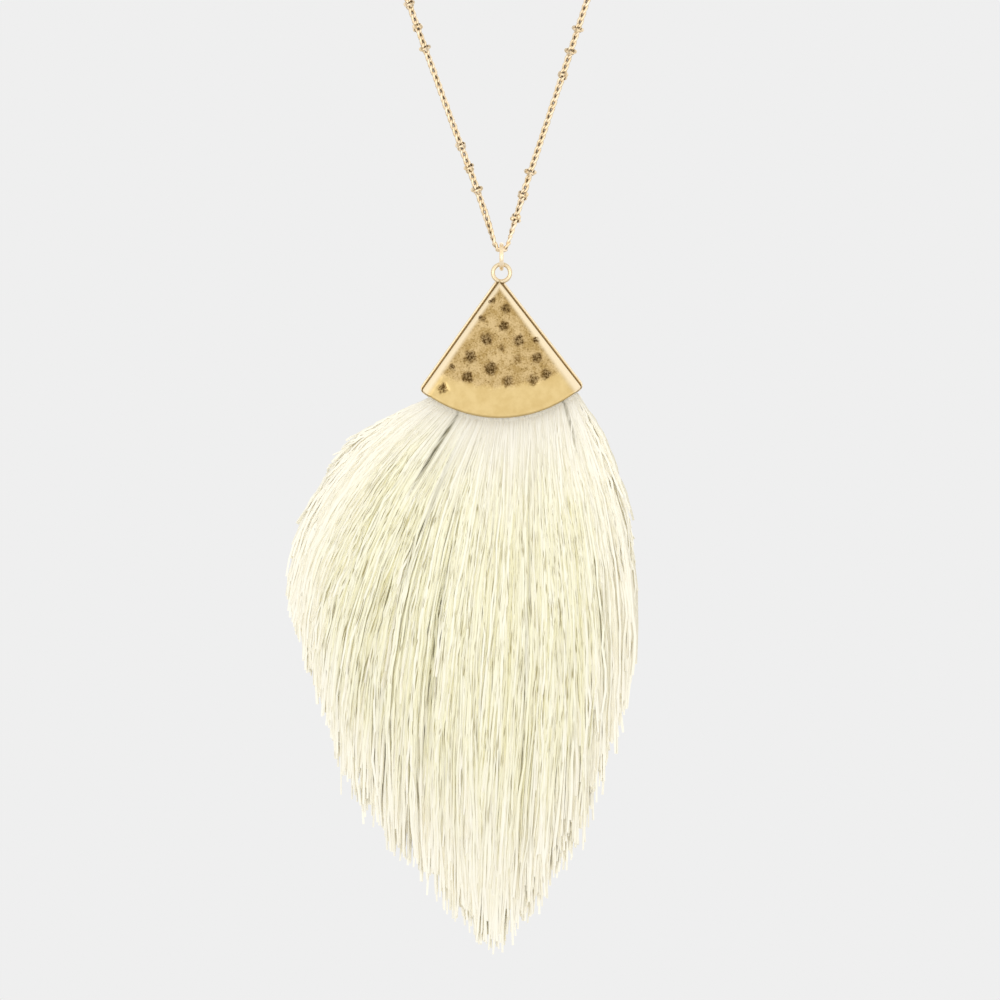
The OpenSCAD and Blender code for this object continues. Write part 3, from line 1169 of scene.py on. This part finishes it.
@dataclass(frozen=True)
class Cap:
    """Cast fan-shaped cap: rim, groove, sloped sides, dented face, loop and slot."""

    gold: Material
    fan: Fan = Fan()
    rim_t: float = 1.3
    rim_round: float = 0.2
    rim_soft: float = 0.3
    groove_w: float = 0.26
    groove_d: float = 0.3
    groove_walls: Pair = (0.7, 0.2)
    bevel_top: float = 1.15
    bevel_growth: float = 1.3
    bevel_right: float = 0.5
    bevel_hollow: float = 0.4
    bevel_d: float = 0.75
    edge_round: float = 0.55
    band_drop: float = 0.785
    band_blur: float = 0.03
    band_arch: float = 0.1
    dent_r: float = 1.35
    dent_d: float = 0.26
    dent_blur: float = 0.42
    matt_low: float = 0.04
    slot_t: float = 3
    slot_depth: float = 10
    slot_wall: float = 1.8
    slot_steps: int = 40
    loop_r: float = 1.925
    loop_wire: float = 0.95
    loop_counts: tuple[int, int] = (64, 20)
    heart_inset: float = 12
    back_inset: float = 2.2
    back_rings: int = 10
    face_rings: int = 58
    # Rows up the rim's wall as shares of it, then rows on the face by their distance from
    # the rim: the first, those on the round edge (start, rows) and those beyond it (gap
    # after it, end, rows)
    wall_shares: Triple = (0.4, 0.8, 0.96)
    face_start: float = 0.05
    round_rows: tuple[float, int] = (0.12, 5)
    slope_rows: tuple[float, float, int] = (0.15, 2, 9)
    # Unevenness: height, length and seed of waves
    warps: tuple[Ripple, Ripple] = ((0.3, 1.6, 3), (0.3, 1.6, 4))
    uneven: tuple[Ripple, Ripple] = ((0.035, 2.2, 5), (0.03, 0.8, 6))
    dent_uneven: Ripple = (0.3, 0.7, 7)
    band_uneven: Ripple = (0.012, 3, 8)
    # Marks of the finish: where each begins and where it is full
    slope_mark: Pair = (0, 0.3)
    bright_mark: Pair = (0, 0.5)
    face_mark: Pair = (0.9, 0.5)
    # The groove and foot marks place painted shade in the groove and along the front's lower edge
    groove_in: Pair = (-0.36, -0.2)
    groove_out: Pair = (0.4, 0.2)
    groove_deep: Pair = (-1.2, -0.3)
    foot_shade_mark: Pair = (0.5, 0.25)
    loop_clear: Pair = (0, 0.8)
    loop_mark: Pair = (0.7, 0.45)
    foot_shade: float = 0.6
    loop_bright: float = 0.85
    # Place to the right of the middle line and below the loop as shares of the drop,
    # size as a share of the dent radius, and darkness
    dents: Table = (
        (-0.046, 0.188, 0.55, 1), (0.043, 0.244, 0.8, 1), (-0.125, 0.31, 0.6, 0.8),
        (0.023, 0.365, 0.85, 1), (-0.093, 0.449, 1, 1), (0.124, 0.464, 0.95, 0.9),
        (0.237, 0.466, 0.55, 0.8), (0.008, 0.512, 0.65, 0.5), (-0.21, 0.571, 1.05, 0.9),
        (0.114, 0.591, 0.8, 0.4), (0.243, 0.588, 0.9, 0.9), (-0.071, 0.654, 1.1, 1),
        (-0.338, 0.637, 0.55, 0.8), (-0.232, 0.708, 0.95, 1), (0.042, 0.742, 0.95, 0.75),
        (0.217, 0.738, 0.9, 0.8), (0.306, 0.7, 0.85, 0.9), (-0.402, 0.781, 0.85, 0.8))

    def slope(self, x: Array, z: Array) -> Array:
        """Share of the slope's depth along the straight sides: 1 at the rim, 0 on the face.

        The slope widens downwards, and more so on the right.

        Args:
            x: places across.
            z: places up.

        Returns:
            The share at each place.
        """
        down = -z / self.fan.drop
        width = self.bevel_top + down * (self.bevel_growth + self.bevel_right * (x > 0))
        t = np.clip((self.fan.from_side(x, z) - self.fan.rim_w) / width, 0, 1)
        return (1 - t) * (1 - self.bevel_hollow * t)

    def dented(self, x: Array, z: Array) -> Array:
        """Share of a dent's depth: round with an uneven edge, 1 in the middle.

        Args:
            x: places across.
            z: places up.

        Returns:
            The share at each place.
        """
        warp_x, warp_z = x + ripple(x, z, self.warps[0]), z + ripple(x, z, self.warps[1])
        right, down, size, dark = np.array(self.dents).T
        far = np.hypot(warp_x[:, None] - right * self.fan.drop,
                       warp_z[:, None] + down * self.fan.drop) / (size * self.dent_r)
        steps = smooth_step(1 + self.dent_blur, 1 - 2 * self.dent_blur, far)
        return np.max(steps * dark, axis=1)

    def front(self, x: Array, z: Array) -> Array:
        """Depth of the front face: a plane that swells to the foot, sloped along the
        sides, rounded at the lower edge, dented, and uneven between the dents.

        Args:
            x: places across.
            z: places up.

        Returns:
            Y of the face.
        """
        q = np.clip((self.fan.from_edge(x, z) - self.fan.rim_foot) / self.edge_round, 0, 1)
        rounded = self.edge_round * (1 - np.sqrt(1 - (1 - q) ** 2))
        drop = np.maximum(self.bevel_d * self.slope(x, z), rounded)
        smooth = np.maximum(self.band(x, z), smooth_step(*self.slope_mark, self.slope(x, z)))
        uneven = sum(ripple(x, z, sizes) for sizes in self.uneven)
        dents = self.dent_d * self.dented(x, z) * (1 + ripple(x, z, self.dent_uneven))
        return (-self.fan.half_thickness(z) + drop + dents
                + (1 - smooth) * (uneven + self.matt_low))

    def band(self, x: Array, z: Array) -> Array:
        """1 on the smooth band along the lower edge, which reaches up at both ends.

        Args:
            x: places across.
            z: places up.

        Returns:
            The share at each place.
        """
        down = -z / self.fan.drop + self.band_arch * (x / self.fan.edge_r * 2) ** 2
        down = down + ripple(x, z, self.band_uneven)
        return smooth_step(self.band_drop - self.band_blur, self.band_drop + self.band_blur, down)

    def section(self) -> list[tuple[float, Level, Level, float]]:
        """Lines round the cap from the back, over the rim and up the wall to the face.

        Returns:
            For each line its inset, the two faces it lies between and the share of the
            way from the first to the second.
        """
        rim, back, front = Level.RIM, Level.BACK, Level.FRONT
        r, w, g = self.rim_round, self.fan.rim_w, self.groove_w
        soft, bump, deep = r * (1 - math.sqrt(0.5)), r / self.rim_t, self.groove_d / self.rim_t
        rows = [(self.back_inset, back, back, 0.0), (r, back, back, 0.0),
                (soft, back, rim, bump * self.rim_soft), (0.0, back, rim, bump),
                (0.0, back, rim, 1 - bump), (soft, back, rim, 1 - bump * self.rim_soft),
                (r, rim, rim, 0.0), (w - g, rim, rim, 0.0)]
        rows += [(w - share * g, rim, back, deep) for share in self.groove_walls]
        rows += [(w, rim, front, share) for share in (0.0, *self.wall_shares)]
        (start, rounds), (gap, end, slopes) = self.round_rows, self.slope_rows
        insets = np.concatenate([[self.face_start], np.linspace(start, self.edge_round, rounds),
                                 np.linspace(self.edge_round + gap, end, slopes)])
        return rows + [(w + float(inset), front, front, 0.0) for inset in insets]

    def shell(self) -> Surface:
        """The cap about the loop, before its slot and loop are made: rings between a pole
        on the back and one on the front, through the lines of the section.

        Returns:
            The closed surface.
        """
        heart = np.array([0, self.fan.meet(self.heart_inset,
                                           self.fan.edge_r - self.heart_inset)[1]])
        plan = [(self.fan.ring(inset), *rest) for inset, *rest in self.section()]
        inner = [(heart + (plan[0][0] - heart) * share, Level.BACK, Level.BACK, 0.0)
                 for share in np.linspace(0, 1, self.back_rings)[1:-1]]
        outer = [(heart + (plan[-1][0] - heart) * share, Level.FRONT, Level.FRONT, 0.0)
                 for share in np.linspace(1, 0, self.face_rings, endpoint=False)[1:]]
        rows = []
        for outline, first, second, share in inner + plan + outer:
            x, z = outline.T
            y = {Level.BACK: self.fan.half_thickness(z),
                 Level.RIM: self.fan.half_thickness(z) - self.rim_t,
                 Level.FRONT: self.front(x, z)}
            rows.append(np.stack([x, y[first] + (y[second] - y[first]) * share, z], axis=1))
        poles = np.array([[0, self.fan.half_thickness(heart[1]), heart[1]],
                          [0, self.front(heart[:1], heart[1:])[0], heart[1]]])
        n, total = len(rows[0]), len(rows) * len(rows[0])
        tips = np.concatenate([pole_faces(total, 0, n, -1),
                               pole_faces(total + 1, total - n, n, 1)])
        return Surface(np.concatenate([*rows, poles]) - [self.fan.offset, 0, 0],
                       (grid_faces(len(rows), n), tips))

    def slot(self) -> Surface:
        """Cutter for the pocket that holds the tassel's head.

        Returns:
            The closed surface.
        """
        rows = []
        for far in (self.fan.edge_r - self.slot_depth, self.fan.edge_r + self.fan.corner_r):
            x, z = self.fan.meet(self.slot_wall, far)
            a = math.atan2(x, self.fan.edge_z - z)
            turn = np.linspace(-a, a, self.slot_steps)
            rows.append([0, self.fan.edge_z] + far * np.stack(
                [np.sin(turn), -np.cos(turn)], axis=1))
        outline = np.concatenate([rows[0], rows[1][::-1]]) - [self.fan.offset, 0]
        return prism(outline, self.slot_t / 2)

    def cast(self) -> Piece:
        """Cuts the slot and the loop's place out of the shell and joins the loop to it.

        Returns:
            The cap about its loop, still at the origin.
        """
        shell = self.shell().piece("cap_shell")
        steps, sides = self.loop_counts
        clear = prism(self.loop_r * on_circle(2 * np.pi - angles(steps)), self.fan.thick_low)
        loop = torus(np.zeros(3), np.array([0, 1.0, 0]), self.loop_r, self.loop_wire,
                     steps, sides)
        for surface, operation in ((clear, "DIFFERENCE"), (self.slot(), "DIFFERENCE"),
                                   (loop, "UNION")):
            cut = shell.modifiers.new(operation, "BOOLEAN")
            cut.operation = operation
            cut.solver = "EXACT"
            cut.object = surface.piece("cap_tool")
        depsgraph = bpy.context.evaluated_depsgraph_get()
        mesh = bpy.data.meshes.new_from_object(shell.evaluated_get(depsgraph))
        for tool in [cut.object for cut in shell.modifiers] + [shell]:
            bpy.data.objects.remove(tool)
        mesh.name = "hammered_cap"
        return new_object("hammered_cap", mesh)

    def marks(self, points: Array) -> dict[str, Array]:
        """Shares of each finish at the points of the cap, about the loop.

        Args:
            points: places about the loop, before the cap is hung.

        Returns:
            The fields dent, band, edge and groove, from 0 to 1; groove holds the shade painted in
            the groove and along the front's lower edge.
        """
        far = np.hypot(points[:, 0], points[:, 2]) - self.loop_r
        x, y, z = (points + [self.fan.offset, 0, 0]).T
        behind = y - self.front(x, z)
        face = smooth_step(*self.face_mark, behind) * smooth_step(*self.loop_clear, far)
        side, slope = self.fan.from_side(x, z) - self.fan.rim_w, self.slope(x, z)
        deep = y - (self.fan.half_thickness(z) - self.rim_t)
        # Painted shade: a dark line in the groove between the rim and the body
        groove = (smooth_step(*self.groove_in, side) * smooth_step(*self.groove_deep, deep)
                  * smooth_step(*self.groove_out, side))
        # Painted shade along the front's lower edge, where it rounds under
        foot = smooth_step(*self.foot_shade_mark, self.fan.from_edge(x, z)) * (y < 0) * self.foot_shade
        bright = np.maximum(face * smooth_step(*self.bright_mark, slope),
                            smooth_step(*self.face_mark[::-1], behind))
        ring = self.loop_bright * smooth_step(*self.loop_mark, far)
        return {"dent": face * self.dented(x, z), "band": face * self.band(x, z) * (1 - slope),
                "edge": np.maximum(bright, ring), "groove": np.maximum(groove, foot)}

    def build(self) -> list[Piece]:
        """Builds the cap, hangs it on the ring and dresses it.

        Returns:
            The new piece.
        """
        piece = self.cast()
        mesh = piece.data
        flat = np.empty(3 * len(mesh.vertices), np.float32)
        mesh.vertices.foreach_get("co", flat)
        points = flat.reshape(-1, 3).astype(float) / MM
        mark(mesh, self.marks(points))
        placed = self.fan.hung(points) * MM
        mesh.vertices.foreach_set("co", placed.astype(np.float32).ravel())
        mesh.update()
        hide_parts("cap")
        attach(piece, Body.PENDANT.value)
        dress(piece, self.gold)
        return [piece]


# The tassel


@dataclass(frozen=True)
class Tassel:
    """Silky threads that fan out of the cap's slot and fall to one long point."""

    silk: Material
    fan: Fan = Fan()
    width: float = 82
    length: float = 116
    thickness: float = 16
    lock_w: float = 9.5
    exit: float = 0.5
    root_in: float = 4.0
    root_half: float = 1.425
    root_spread: float = 0.5
    slot_reach: float = 2.0
    slot_half_t: float = 1.15
    root_pull: float = 0.3
    tip_pull: float = 0.36
    thread: float = 0.48
    tufts: int = 1800
    threads_in_tuft: int = 4
    rings: int = 17
    sides: int = 3
    side_step: float = 0.0015
    side_turn: float = 6
    bundles: int = 5
    seed: int = 5
    # How much tufts crowd to the sides, and the power of the place that marks the sides
    crowding: float = 0.3
    side_power: int = 6
    # Skins of tufts at front and back: depth and power, the front's share of the tufts,
    # and the share in both in the middle of the slot and how much less it is at the sides
    skin: Pair = (0.4, 1.5)
    front_share: float = 0.5
    skin_share: Pair = (0.85, 0.75)
    # Reach of a tuft: longest, spread, more spread at the sides, power and less power
    reach: tuple[float, ...] = (1.04, 0.5, 0.2, 3, 2)
    thread_trim: float = 0.08
    reach_limits: Pair = (0.3, 1.05)
    # Radius of a tuft, its share at the root and loss at the tip, and where these change
    loose: Triple = (1.4, 0.25, 0.25)
    loosens: Pair = (0, 0.35)
    gathers: Pair = (0.7, 1)
    loose_depth: float = 0.15
    # Height and pace of a tuft's wave, and its sway
    wave: Pair = (0.9, 3.2)
    sway: float = 2
    sway_spread: float = 0.4
    kink: float = 0.2
    kink_depth: float = 0.2
    kink_start: Pair = (0, 0.3)
    least_half_t: float = 0.3
    skin_t: float = 0.6
    # Share of a thread's radius at the root, growth in the fan and to the tip, last ring
    slim: tuple[float, float, float, float] = (0.5, 0.5, 0.35, 0.85)
    slim_end: Pair = (0, 0.15)
    radius_spread: Pair = (0.75, 1.15)
    # Outward bend of the shortest outer threads, on each side
    stray_left: float = 5
    stray_right: float = 2
    # Share of its outward spread that the outermost thread loses, on each side
    held_left: float = 0.5
    held_right: float = 0.25
    # Places across the slot between which the threads grow pale towards the sides with a painted
    # glow
    glow_sides: Pair = (0.6, 0.95)
    # Partings: place across the slot, where they start and end as shares of the
    # length, half width and the strength of the shade painted in them
    partings: Table = (
        (-0.587, 0.04, 0.3, 0.25, 0.9), (0.85, 0.02, 0.2, 0.16, 0.8),
        (-0.42, 0.15, 0.55, 0.14, 0.4), (-0.22, 0.4, 0.95, 0.2, 0.3),
        (0.3, 0.35, 0.8, 0.16, 0.3))
    parting_spread: float = 1.5
    # Lengths over which a parting opens, and the share of its end where it starts to close
    parting_opens: Pair = (-0.1, 0.02)
    parting_closes: float = 0.6
    # Root across the slot from -1 to 1, tip across as a share of the width, tip below
    # the cap as a share of the length, direction at the root in degrees, fullness
    falls: Table = (
        (-1, -0.57, 0.37, -58, 0.3), (-0.83, -0.53, 0.45, -46, 0.45),
        (-0.67, -0.475, 0.55, -37, 0.6), (-0.5, -0.415, 0.675, -29, 0.8),
        (-0.33, -0.3, 0.79, -23, 0.9), (-0.17, -0.19, 0.875, -15, 1),
        (0, -0.095, 0.945, -7, 1), (0.17, -0.017, 1, 0, 1), (0.33, 0.06, 0.93, 6, 1),
        (0.5, 0.155, 0.855, 9, 1), (0.67, 0.23, 0.74, 12, 0.95),
        (0.83, 0.29, 0.62, 16, 0.85), (1, 0.345, 0.48, 20, 0.7))
    # Share of the length, half width and half thickness as shares of their fullest
    swell: Table = (
        (0, 0.3, 0.1), (0.07, 0.5, 0.36), (0.15, 0.72, 0.6), (0.28, 0.95, 0.88),
        (0.48, 1, 1), (0.68, 0.85, 0.8), (0.86, 0.55, 0.42), (1, 0.3, 0.1))

    def column(self, u: Array, number: int) -> Array:
        """Value in a column of the table of falls at places across the slot."""
        table = np.array(self.falls)
        return np.interp(u, table[:, 0], table[:, number])

    def beyond(self, u: Array, reach: float) -> Array:
        """Points beyond the cap's lower edge, in the cap's plane, as it leans.

        Args:
            u: places across the slot.
            reach: how far beyond the edge.

        Returns:
            Points in X and Z.
        """
        end = self.fan.meet(self.slot_reach + self.root_half, self.fan.edge_r)
        a = u * math.atan2(end[0], self.fan.edge_z - end[1])
        x = (self.fan.edge_r + reach) * np.sin(a) - self.fan.offset
        z = self.fan.edge_z - (self.fan.edge_r + reach) * np.cos(a)
        return np.stack(turned(x, z, self.fan.lean), axis=-1)

    def paths(self, u: Array, t: Array) -> tuple[Array, Array]:
        """Middle lines in X and Z: cubic Bezier curves from the slot to the hanging tip.

        Args:
            u: place of each thread across the slot.
            t: shares of the whole length, a row for each thread.

        Returns:
            Points and unit directions, a row for each thread.
        """
        start = self.beyond(u, self.exit)[:, None]
        tip = np.stack([self.column(u, 1) * self.width,
                        -self.fan.drop - self.column(u, 2) * self.length], axis=-1)[:, None]
        a = np.radians(self.column(u, 3))[:, None]
        far = np.linalg.norm(tip - start, axis=-1)
        b = start + (self.root_pull * far)[..., None] * np.stack(
            [np.sin(a), -np.cos(a)], axis=-1)
        c = tip + (self.tip_pull * far)[..., None] * np.array([0, 1.0])
        t = t[..., None]
        r = 1 - t
        points = r ** 3 * start + 3 * r * r * t * b + 3 * r * t * t * c + t ** 3 * tip
        ahead = 3 * (r * r * (b - start) + 2 * r * t * (c - b) + t * t * (tip - c))
        return points, unit(ahead)

    def gathered(self, random: np.random.Generator) -> tuple[Array, ...]:
        """Tufts across the slot: most of them in the skins at the front and back.

        Args:
            random: source of the chances.

        Returns:
            For each tuft its place across the slot and its row from front to back, from
            -1 to 1, its reach, its side in its lock, the phase of its wave and its sway.
        """
        n = self.tufts
        even = (np.arange(n) + random.uniform(0, 1, n)) / n * 2 - 1
        place = (1 + self.crowding) * even - self.crowding * even ** 3
        depth, power = self.skin
        row = -1 + depth * random.uniform(0, 1, n) ** power
        rim = place ** self.side_power
        kind = random.uniform(0, 1, n)
        row = np.where(kind > self.front_share, -row, row)
        share, less = self.skin_share
        row = np.where(kind > share - less * rim, random.uniform(-1, 1, n), row)
        longest, spread, more, power, less = self.reach
        reach = longest - (spread + more * rim) * random.uniform(0, 1, n) ** (power - less * rim)
        return (place, row, reach, random.uniform(-1, 1, n),
                random.uniform(0, 2 * np.pi, n), random.normal(0, self.sway_spread, n))

    def threads(self) -> tuple[Array, Array, Array, dict[str, Array]]:
        """Places of all threads, gathered in tufts that part a little.

        Returns:
            Middle lines as threads by rings by 3, radii of threads by rings, a number
            from 0 to 1 for each thread, and for each ring how deep it lies in a parting
            and how near the tassel's sides, which set the painted shade and the painted glow.
        """
        random = np.random.default_rng(self.seed)
        count = self.tufts * self.threads_in_tuft
        tufts = [np.repeat(values, self.threads_in_tuft)[:, None]
                 for values in self.gathered(random)]
        u, row, end = tufts[:3]
        far = np.sqrt(random.uniform(0, 1, count))
        own = (far * on_circle(random.uniform(0, 2 * np.pi, count)).T)[..., None]
        trim = 1 - self.thread_trim * np.abs(random.normal(0, 1, (count, 1)))
        end = np.clip(end * trim, *self.reach_limits)
        t = np.linspace(0, 1, self.rings - 1)[None] * end
        s = t / end
        at, ahead = self.paths(u[:, 0], t)
        normal = crosswise(ahead)
        kinks = self.kink * random.normal(0, 1, (2, *t.shape)) * smooth_step(*self.kink_start, s)
        lateral, depth = self.spread(tufts, own, t, s)
        lateral = lateral + kinks[0] + self.strayed(u, end) * s ** 2
        flat = at + lateral[..., None] * normal
        moves, gap = self.parted(flat, t)
        flat = flat + moves
        line = np.stack([flat[..., 0], depth + self.kink_depth * kinks[1], flat[..., 1]], axis=-1)
        aside = (own[0] * self.root_spread)[..., None]
        root = self.beyond(u, -self.root_in) + aside * normal[:, :1]
        root = np.stack([root[..., 0], row * self.slot_half_t, root[..., 1]], axis=-1)
        least, opening, growth, last = self.slim
        slim = least + opening * smooth_step(*self.slim_end, t) + growth * t
        slim = np.concatenate([np.full((count, 1), least), slim], axis=1)
        slim[:, -1] *= last
        radius = self.thread / 2 * slim * random.uniform(*self.radius_spread, (count, 1))
        gap = np.concatenate([gap[:, :1], gap], axis=1)
        # outer: where the finish paints a glow of light through the threads, towards the sides
        outer = smooth_step(*self.glow_sides, np.abs(u)) + 0 * gap
        return (np.concatenate([root, line], axis=1), radius, random.uniform(0, 1, count),
                {"gap": gap, "outer": outer})

    def spread(self, tufts: list[Array], own: Array, t: Array,
               s: Array) -> tuple[Array, Array]:
        """How far the threads lie from their fall's middle line, across and in depth.

        Args:
            tufts: what gathered() gives, as a column for each.
            own: a thread's place in its tuft, across and in depth.
            t: shares of the whole length, a row for each thread.
            s: shares of the thread's own length.

        Returns:
            Moves across, and depths.
        """
        u, row, side, phase, sway = (tufts[k] for k in (0, 1, 3, 4, 5))
        shares, half_w, half_t = np.array(self.swell).T
        half_w = self.lock_w / 2 * np.interp(t, shares, half_w)
        half_t = self.column(u, 4) * self.thickness / 2 * np.interp(t, shares, half_t)
        radius, root, loss = self.loose
        loose = radius * (root + (1 - root) * smooth_step(*self.loosens, s)
                          - loss * smooth_step(*self.gathers, s))
        height, pace = self.wave
        wave = height * t * np.sin(pace * t + phase) + self.sway * sway * t ** 2
        lateral = side * half_w + own[0] * loose + wave
        held = np.where(u > 0, self.held_right, self.held_left) * u ** 2
        lateral = np.where(lateral * u > 0, lateral * (1 - held), lateral)
        return lateral, (row * np.maximum(half_t - self.skin_t, self.least_half_t)
                         + own[1] * loose * self.loose_depth)

    def strayed(self, u: Array, end: Array) -> Array:
        """Outward bend at the ends of the outer threads that are shorter than the rest."""
        stray = np.where(u > 0, self.stray_right, -self.stray_left) * u ** self.side_power
        return stray * np.maximum(1 - end, 0)

    def parted(self, flat: Array, t: Array) -> tuple[Array, Array]:
        """Moves of the threads' middle lines away from the partings.

        Each parting pushes a point at the distance d by its half width times
        exp(-d^2/a^2), with a the spread of the push, over the parting's own stretch.

        Args:
            flat: points of the middle lines in X and Z.
            t: shares of the whole length at these points.

        Returns:
            The moves in X and Z, and the depth in a parting, from 0 to 1, which sets the shade
            painted there.
        """
        total, gap = np.zeros_like(flat), np.zeros_like(t)
        before, behind = self.parting_opens
        for place, low, high, half, dark in self.partings:
            line, ahead = self.paths(np.full(len(t), place), t)
            normal = crosswise(ahead)
            d = np.sum((flat - line) * normal, axis=-1)
            window = smooth_step(low + before, low + behind, t) * smooth_step(
                high, high * self.parting_closes, t)
            push = half * np.sign(d) * np.exp(-(d / self.parting_spread) ** 2) * window
            total += push[..., None] * normal
            # Painted shade: gap grows deep in a parting, by the parting's darkness
            gap = np.maximum(gap, dark * np.exp(-(d / half) ** 2) * window)
        return total, gap

    def tubes(self, line: Array, radius: Array, own: Array,
              fields: dict[str, Array]) -> Surface:
        """Closed three-sided tubes: p + r (cos v n + sin v j), with n across in the
        fan's plane and j from front to back.

        Args:
            line: middle lines as threads by rings by 3.
            radius: radii as threads by rings.
            own: each thread's own number.
            fields: values for the finish as threads by rings, by name.

        Returns:
            The tubes, with the thread's own number, which grows a little from side to
            side, and the share along it as UV.
        """
        (count, rings), sides = radius.shape, self.sides
        ahead = unit(np.gradient(line, axis=1))
        across = unit(np.stack([-ahead[..., 2], 0 * radius, ahead[..., 0]], axis=-1))
        back = np.cross(ahead, across)
        v = angles(sides)[None, None, :, None] + own[:, None, None, None] * self.side_turn
        points = line[:, :, None] + radius[:, :, None, None] * (
            np.cos(v) * across[:, :, None] + np.sin(v) * back[:, :, None])
        step = rings * sides
        ends = np.array([np.arange(sides)[::-1], step - sides + np.arange(sides)])
        along = np.linspace(0, 1, rings)[None, :, None] * np.ones((count, 1, sides))
        round_it = np.arange(sides) * self.side_step
        uv = np.stack([own[:, None, None] + round_it + 0 * along, along], axis=-1)
        return Surface(points.reshape(-1, 3) + self.fan.loop,
                       (repeated(grid_faces(rings, sides), step, count),
                        repeated(ends, step, count)),
                       {key: np.repeat(values.ravel(), sides) for key, values in fields.items()},
                       uv.reshape(-1, 2), smooth=False)

    def build(self) -> list[Piece]:
        """Builds the threads in bundles from front to back and dresses them.

        Returns:
            The new pieces.
        """
        line, radius, own, fields = self.threads()
        order = np.argsort(line[:, self.rings // 2, 1], kind="stable")
        pieces = []
        for number, part in enumerate(np.array_split(order, self.bundles)):
            shown = {key: values[part] for key, values in fields.items()}
            surface = self.tubes(line[part], radius[part], own[part], shown)
            piece = surface.piece(f"threads_{number}")
            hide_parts("tassel")
            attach(piece, Body.PENDANT.value)
            dress(piece, self.silk)
            pieces.append(piece)
        return pieces


# The studio


@dataclass(frozen=True)
class Lamp:
    """Square soft light: its place and side in metres, and its power in watts."""

    name: str
    place: Triple
    size: float
    watts: float

    def hang(self, aim: Array) -> None:
        """Hangs the light.

        Args:
            aim: the point that it faces, in metres.
        """
        data = bpy.data.lights.new(self.name, "AREA")
        data.shape = "SQUARE"
        data.size = self.size
        data.energy = self.watts
        x, y, z = aim - np.array(self.place)
        lamp = new_object(self.name, data)
        lamp.location = self.place
        lamp.rotation_euler = (math.pi / 2 + math.atan2(z, math.hypot(x, y)), 0,
                               math.atan2(y, x) - math.pi / 2)


@dataclass(frozen=True)
class Studio:
    """Camera at the photograph's angle, soft lights, pale floor and background."""

    mm_per_pixel: float = 0.2236
    picture: float = 1000
    loop_pixel: Pair = (501.5, 272.8)
    distance: float = 1600
    sensor: float = 36
    far_limit: float = 100
    background: float = 0.863
    glow: Triple = (0.935, 0.93, 0.915)
    aim_below: float = 50
    lamps: tuple[Lamp, ...] = (
        Lamp("front_left", (-0.6, -1.4, -0.35), 0.7, 2.8),
        Lamp("front_right", (0.65, -1.4, -0.45), 0.7, 2.6),
        Lamp("key", (-0.6, -0.9, 0.3), 1.1, 1.0),
        Lamp("side", (0.9, -0.7, 0.1), 1.1, 1.3),
        Lamp("back", (0.2, 1.4, 0.1), 1.1, 2.4))
    floor_radius: float = 750
    floor_below: float = 100
    floor_middle_y: float = -100
    floor_steps: int = 96
    bounces: int = 16
    diffuse_bounces: int = 12

    def camera(self, loop: Array) -> None:
        """Places a long lens straight in front, with the loop at its pixel.

        Args:
            loop: the cap's loop centre.
        """
        x = loop[0] + (self.picture / 2 - self.loop_pixel[0]) * self.mm_per_pixel
        z = loop[2] - (self.picture / 2 - self.loop_pixel[1]) * self.mm_per_pixel
        data = bpy.data.cameras.new("camera")
        data.sensor_width = self.sensor
        data.lens = self.sensor * self.distance / (self.mm_per_pixel * self.picture)
        data.clip_end = self.far_limit
        camera = new_object("camera", data)
        camera.location = np.array([x, loop[1] - self.distance, z]) * MM
        camera.rotation_euler = (math.pi / 2, 0, 0)
        bpy.context.scene.camera = camera

    def world(self) -> None:
        """Even pale background to the camera, and brighter even light to the rest."""
        world = bpy.data.worlds.new("studio")
        nodes = Nodes(world)
        cast, seen = (nodes.node("Background", {}, {"Color": colour}).outputs[0]
                      for colour in (self.glow, (self.background,) * 3))
        to_camera = nodes.node("LightPath", {}, {}).outputs["Is Camera Ray"]
        shown = nodes.node("MixShader", {}, {0: to_camera, 1: cast, 2: seen})
        nodes.node("OutputWorld", {}, {"Surface": shown.outputs[0]})
        bpy.context.scene.world = world

    def floor(self, low: float, material: Material) -> None:
        """Lays a round pale floor under the hanging tassel.

        Args:
            low: height of the tassel's tip.
            material: finish of the floor.
        """
        outline = self.floor_radius * on_circle(angles(self.floor_steps))
        points = np.concatenate([outline, 0 * outline[:, :1]], axis=1)
        points = points + [0, self.floor_middle_y, low - self.floor_below]
        piece = Surface(points, (np.arange(self.floor_steps)[None],)).piece("floor")
        piece.data.materials.append(material)

    def build(self, loop: Array, low: float) -> None:
        """Sets up the whole studio.

        Args:
            loop: the cap's loop centre.
            low: height of the tassel's tip.
        """
        self.camera(loop)
        self.world()
        for lamp in self.lamps:
            lamp.hang(np.array([0, loop[1], loop[2] - self.aim_below]) * MM)
        self.floor(low, Paper().make("pale_paper"))
        cycles = bpy.context.scene.cycles
        cycles.max_bounces, cycles.diffuse_bounces = self.bounces, self.diffuse_bounces
        view = bpy.context.scene.view_settings
        view.view_transform = "Standard"
        view.look = "None"


def report(pieces: list[Piece]) -> None:
    """Writes a line to the log for each piece."""
    for piece in pieces:
        LOG.info("%s: %d faces", piece.name, len(piece.data.polygons))


def main() -> None:
    """Builds the necklace and its studio."""
    logging.basicConfig(level=logging.INFO, format="%(name)s %(message)s")
    kept = set(frame["nodes"].values()) | set(frame["bodies"].values())
    for stray in set(bpy.data.objects) - kept:
        bpy.data.objects.remove(stray)
    gold = BrightGold().make("bright_gold")
    report(Chain(gold).build())
    report(Findings(gold).build())
    report(Cap(AntiqueGold().make("antique_gold")).build())
    report(Tassel(Silk().make("cream_silk")).build())
    Studio().build(Fan().loop, CAD_BOX[0][2] / MM)


if __name__ == "__main__":
    main()
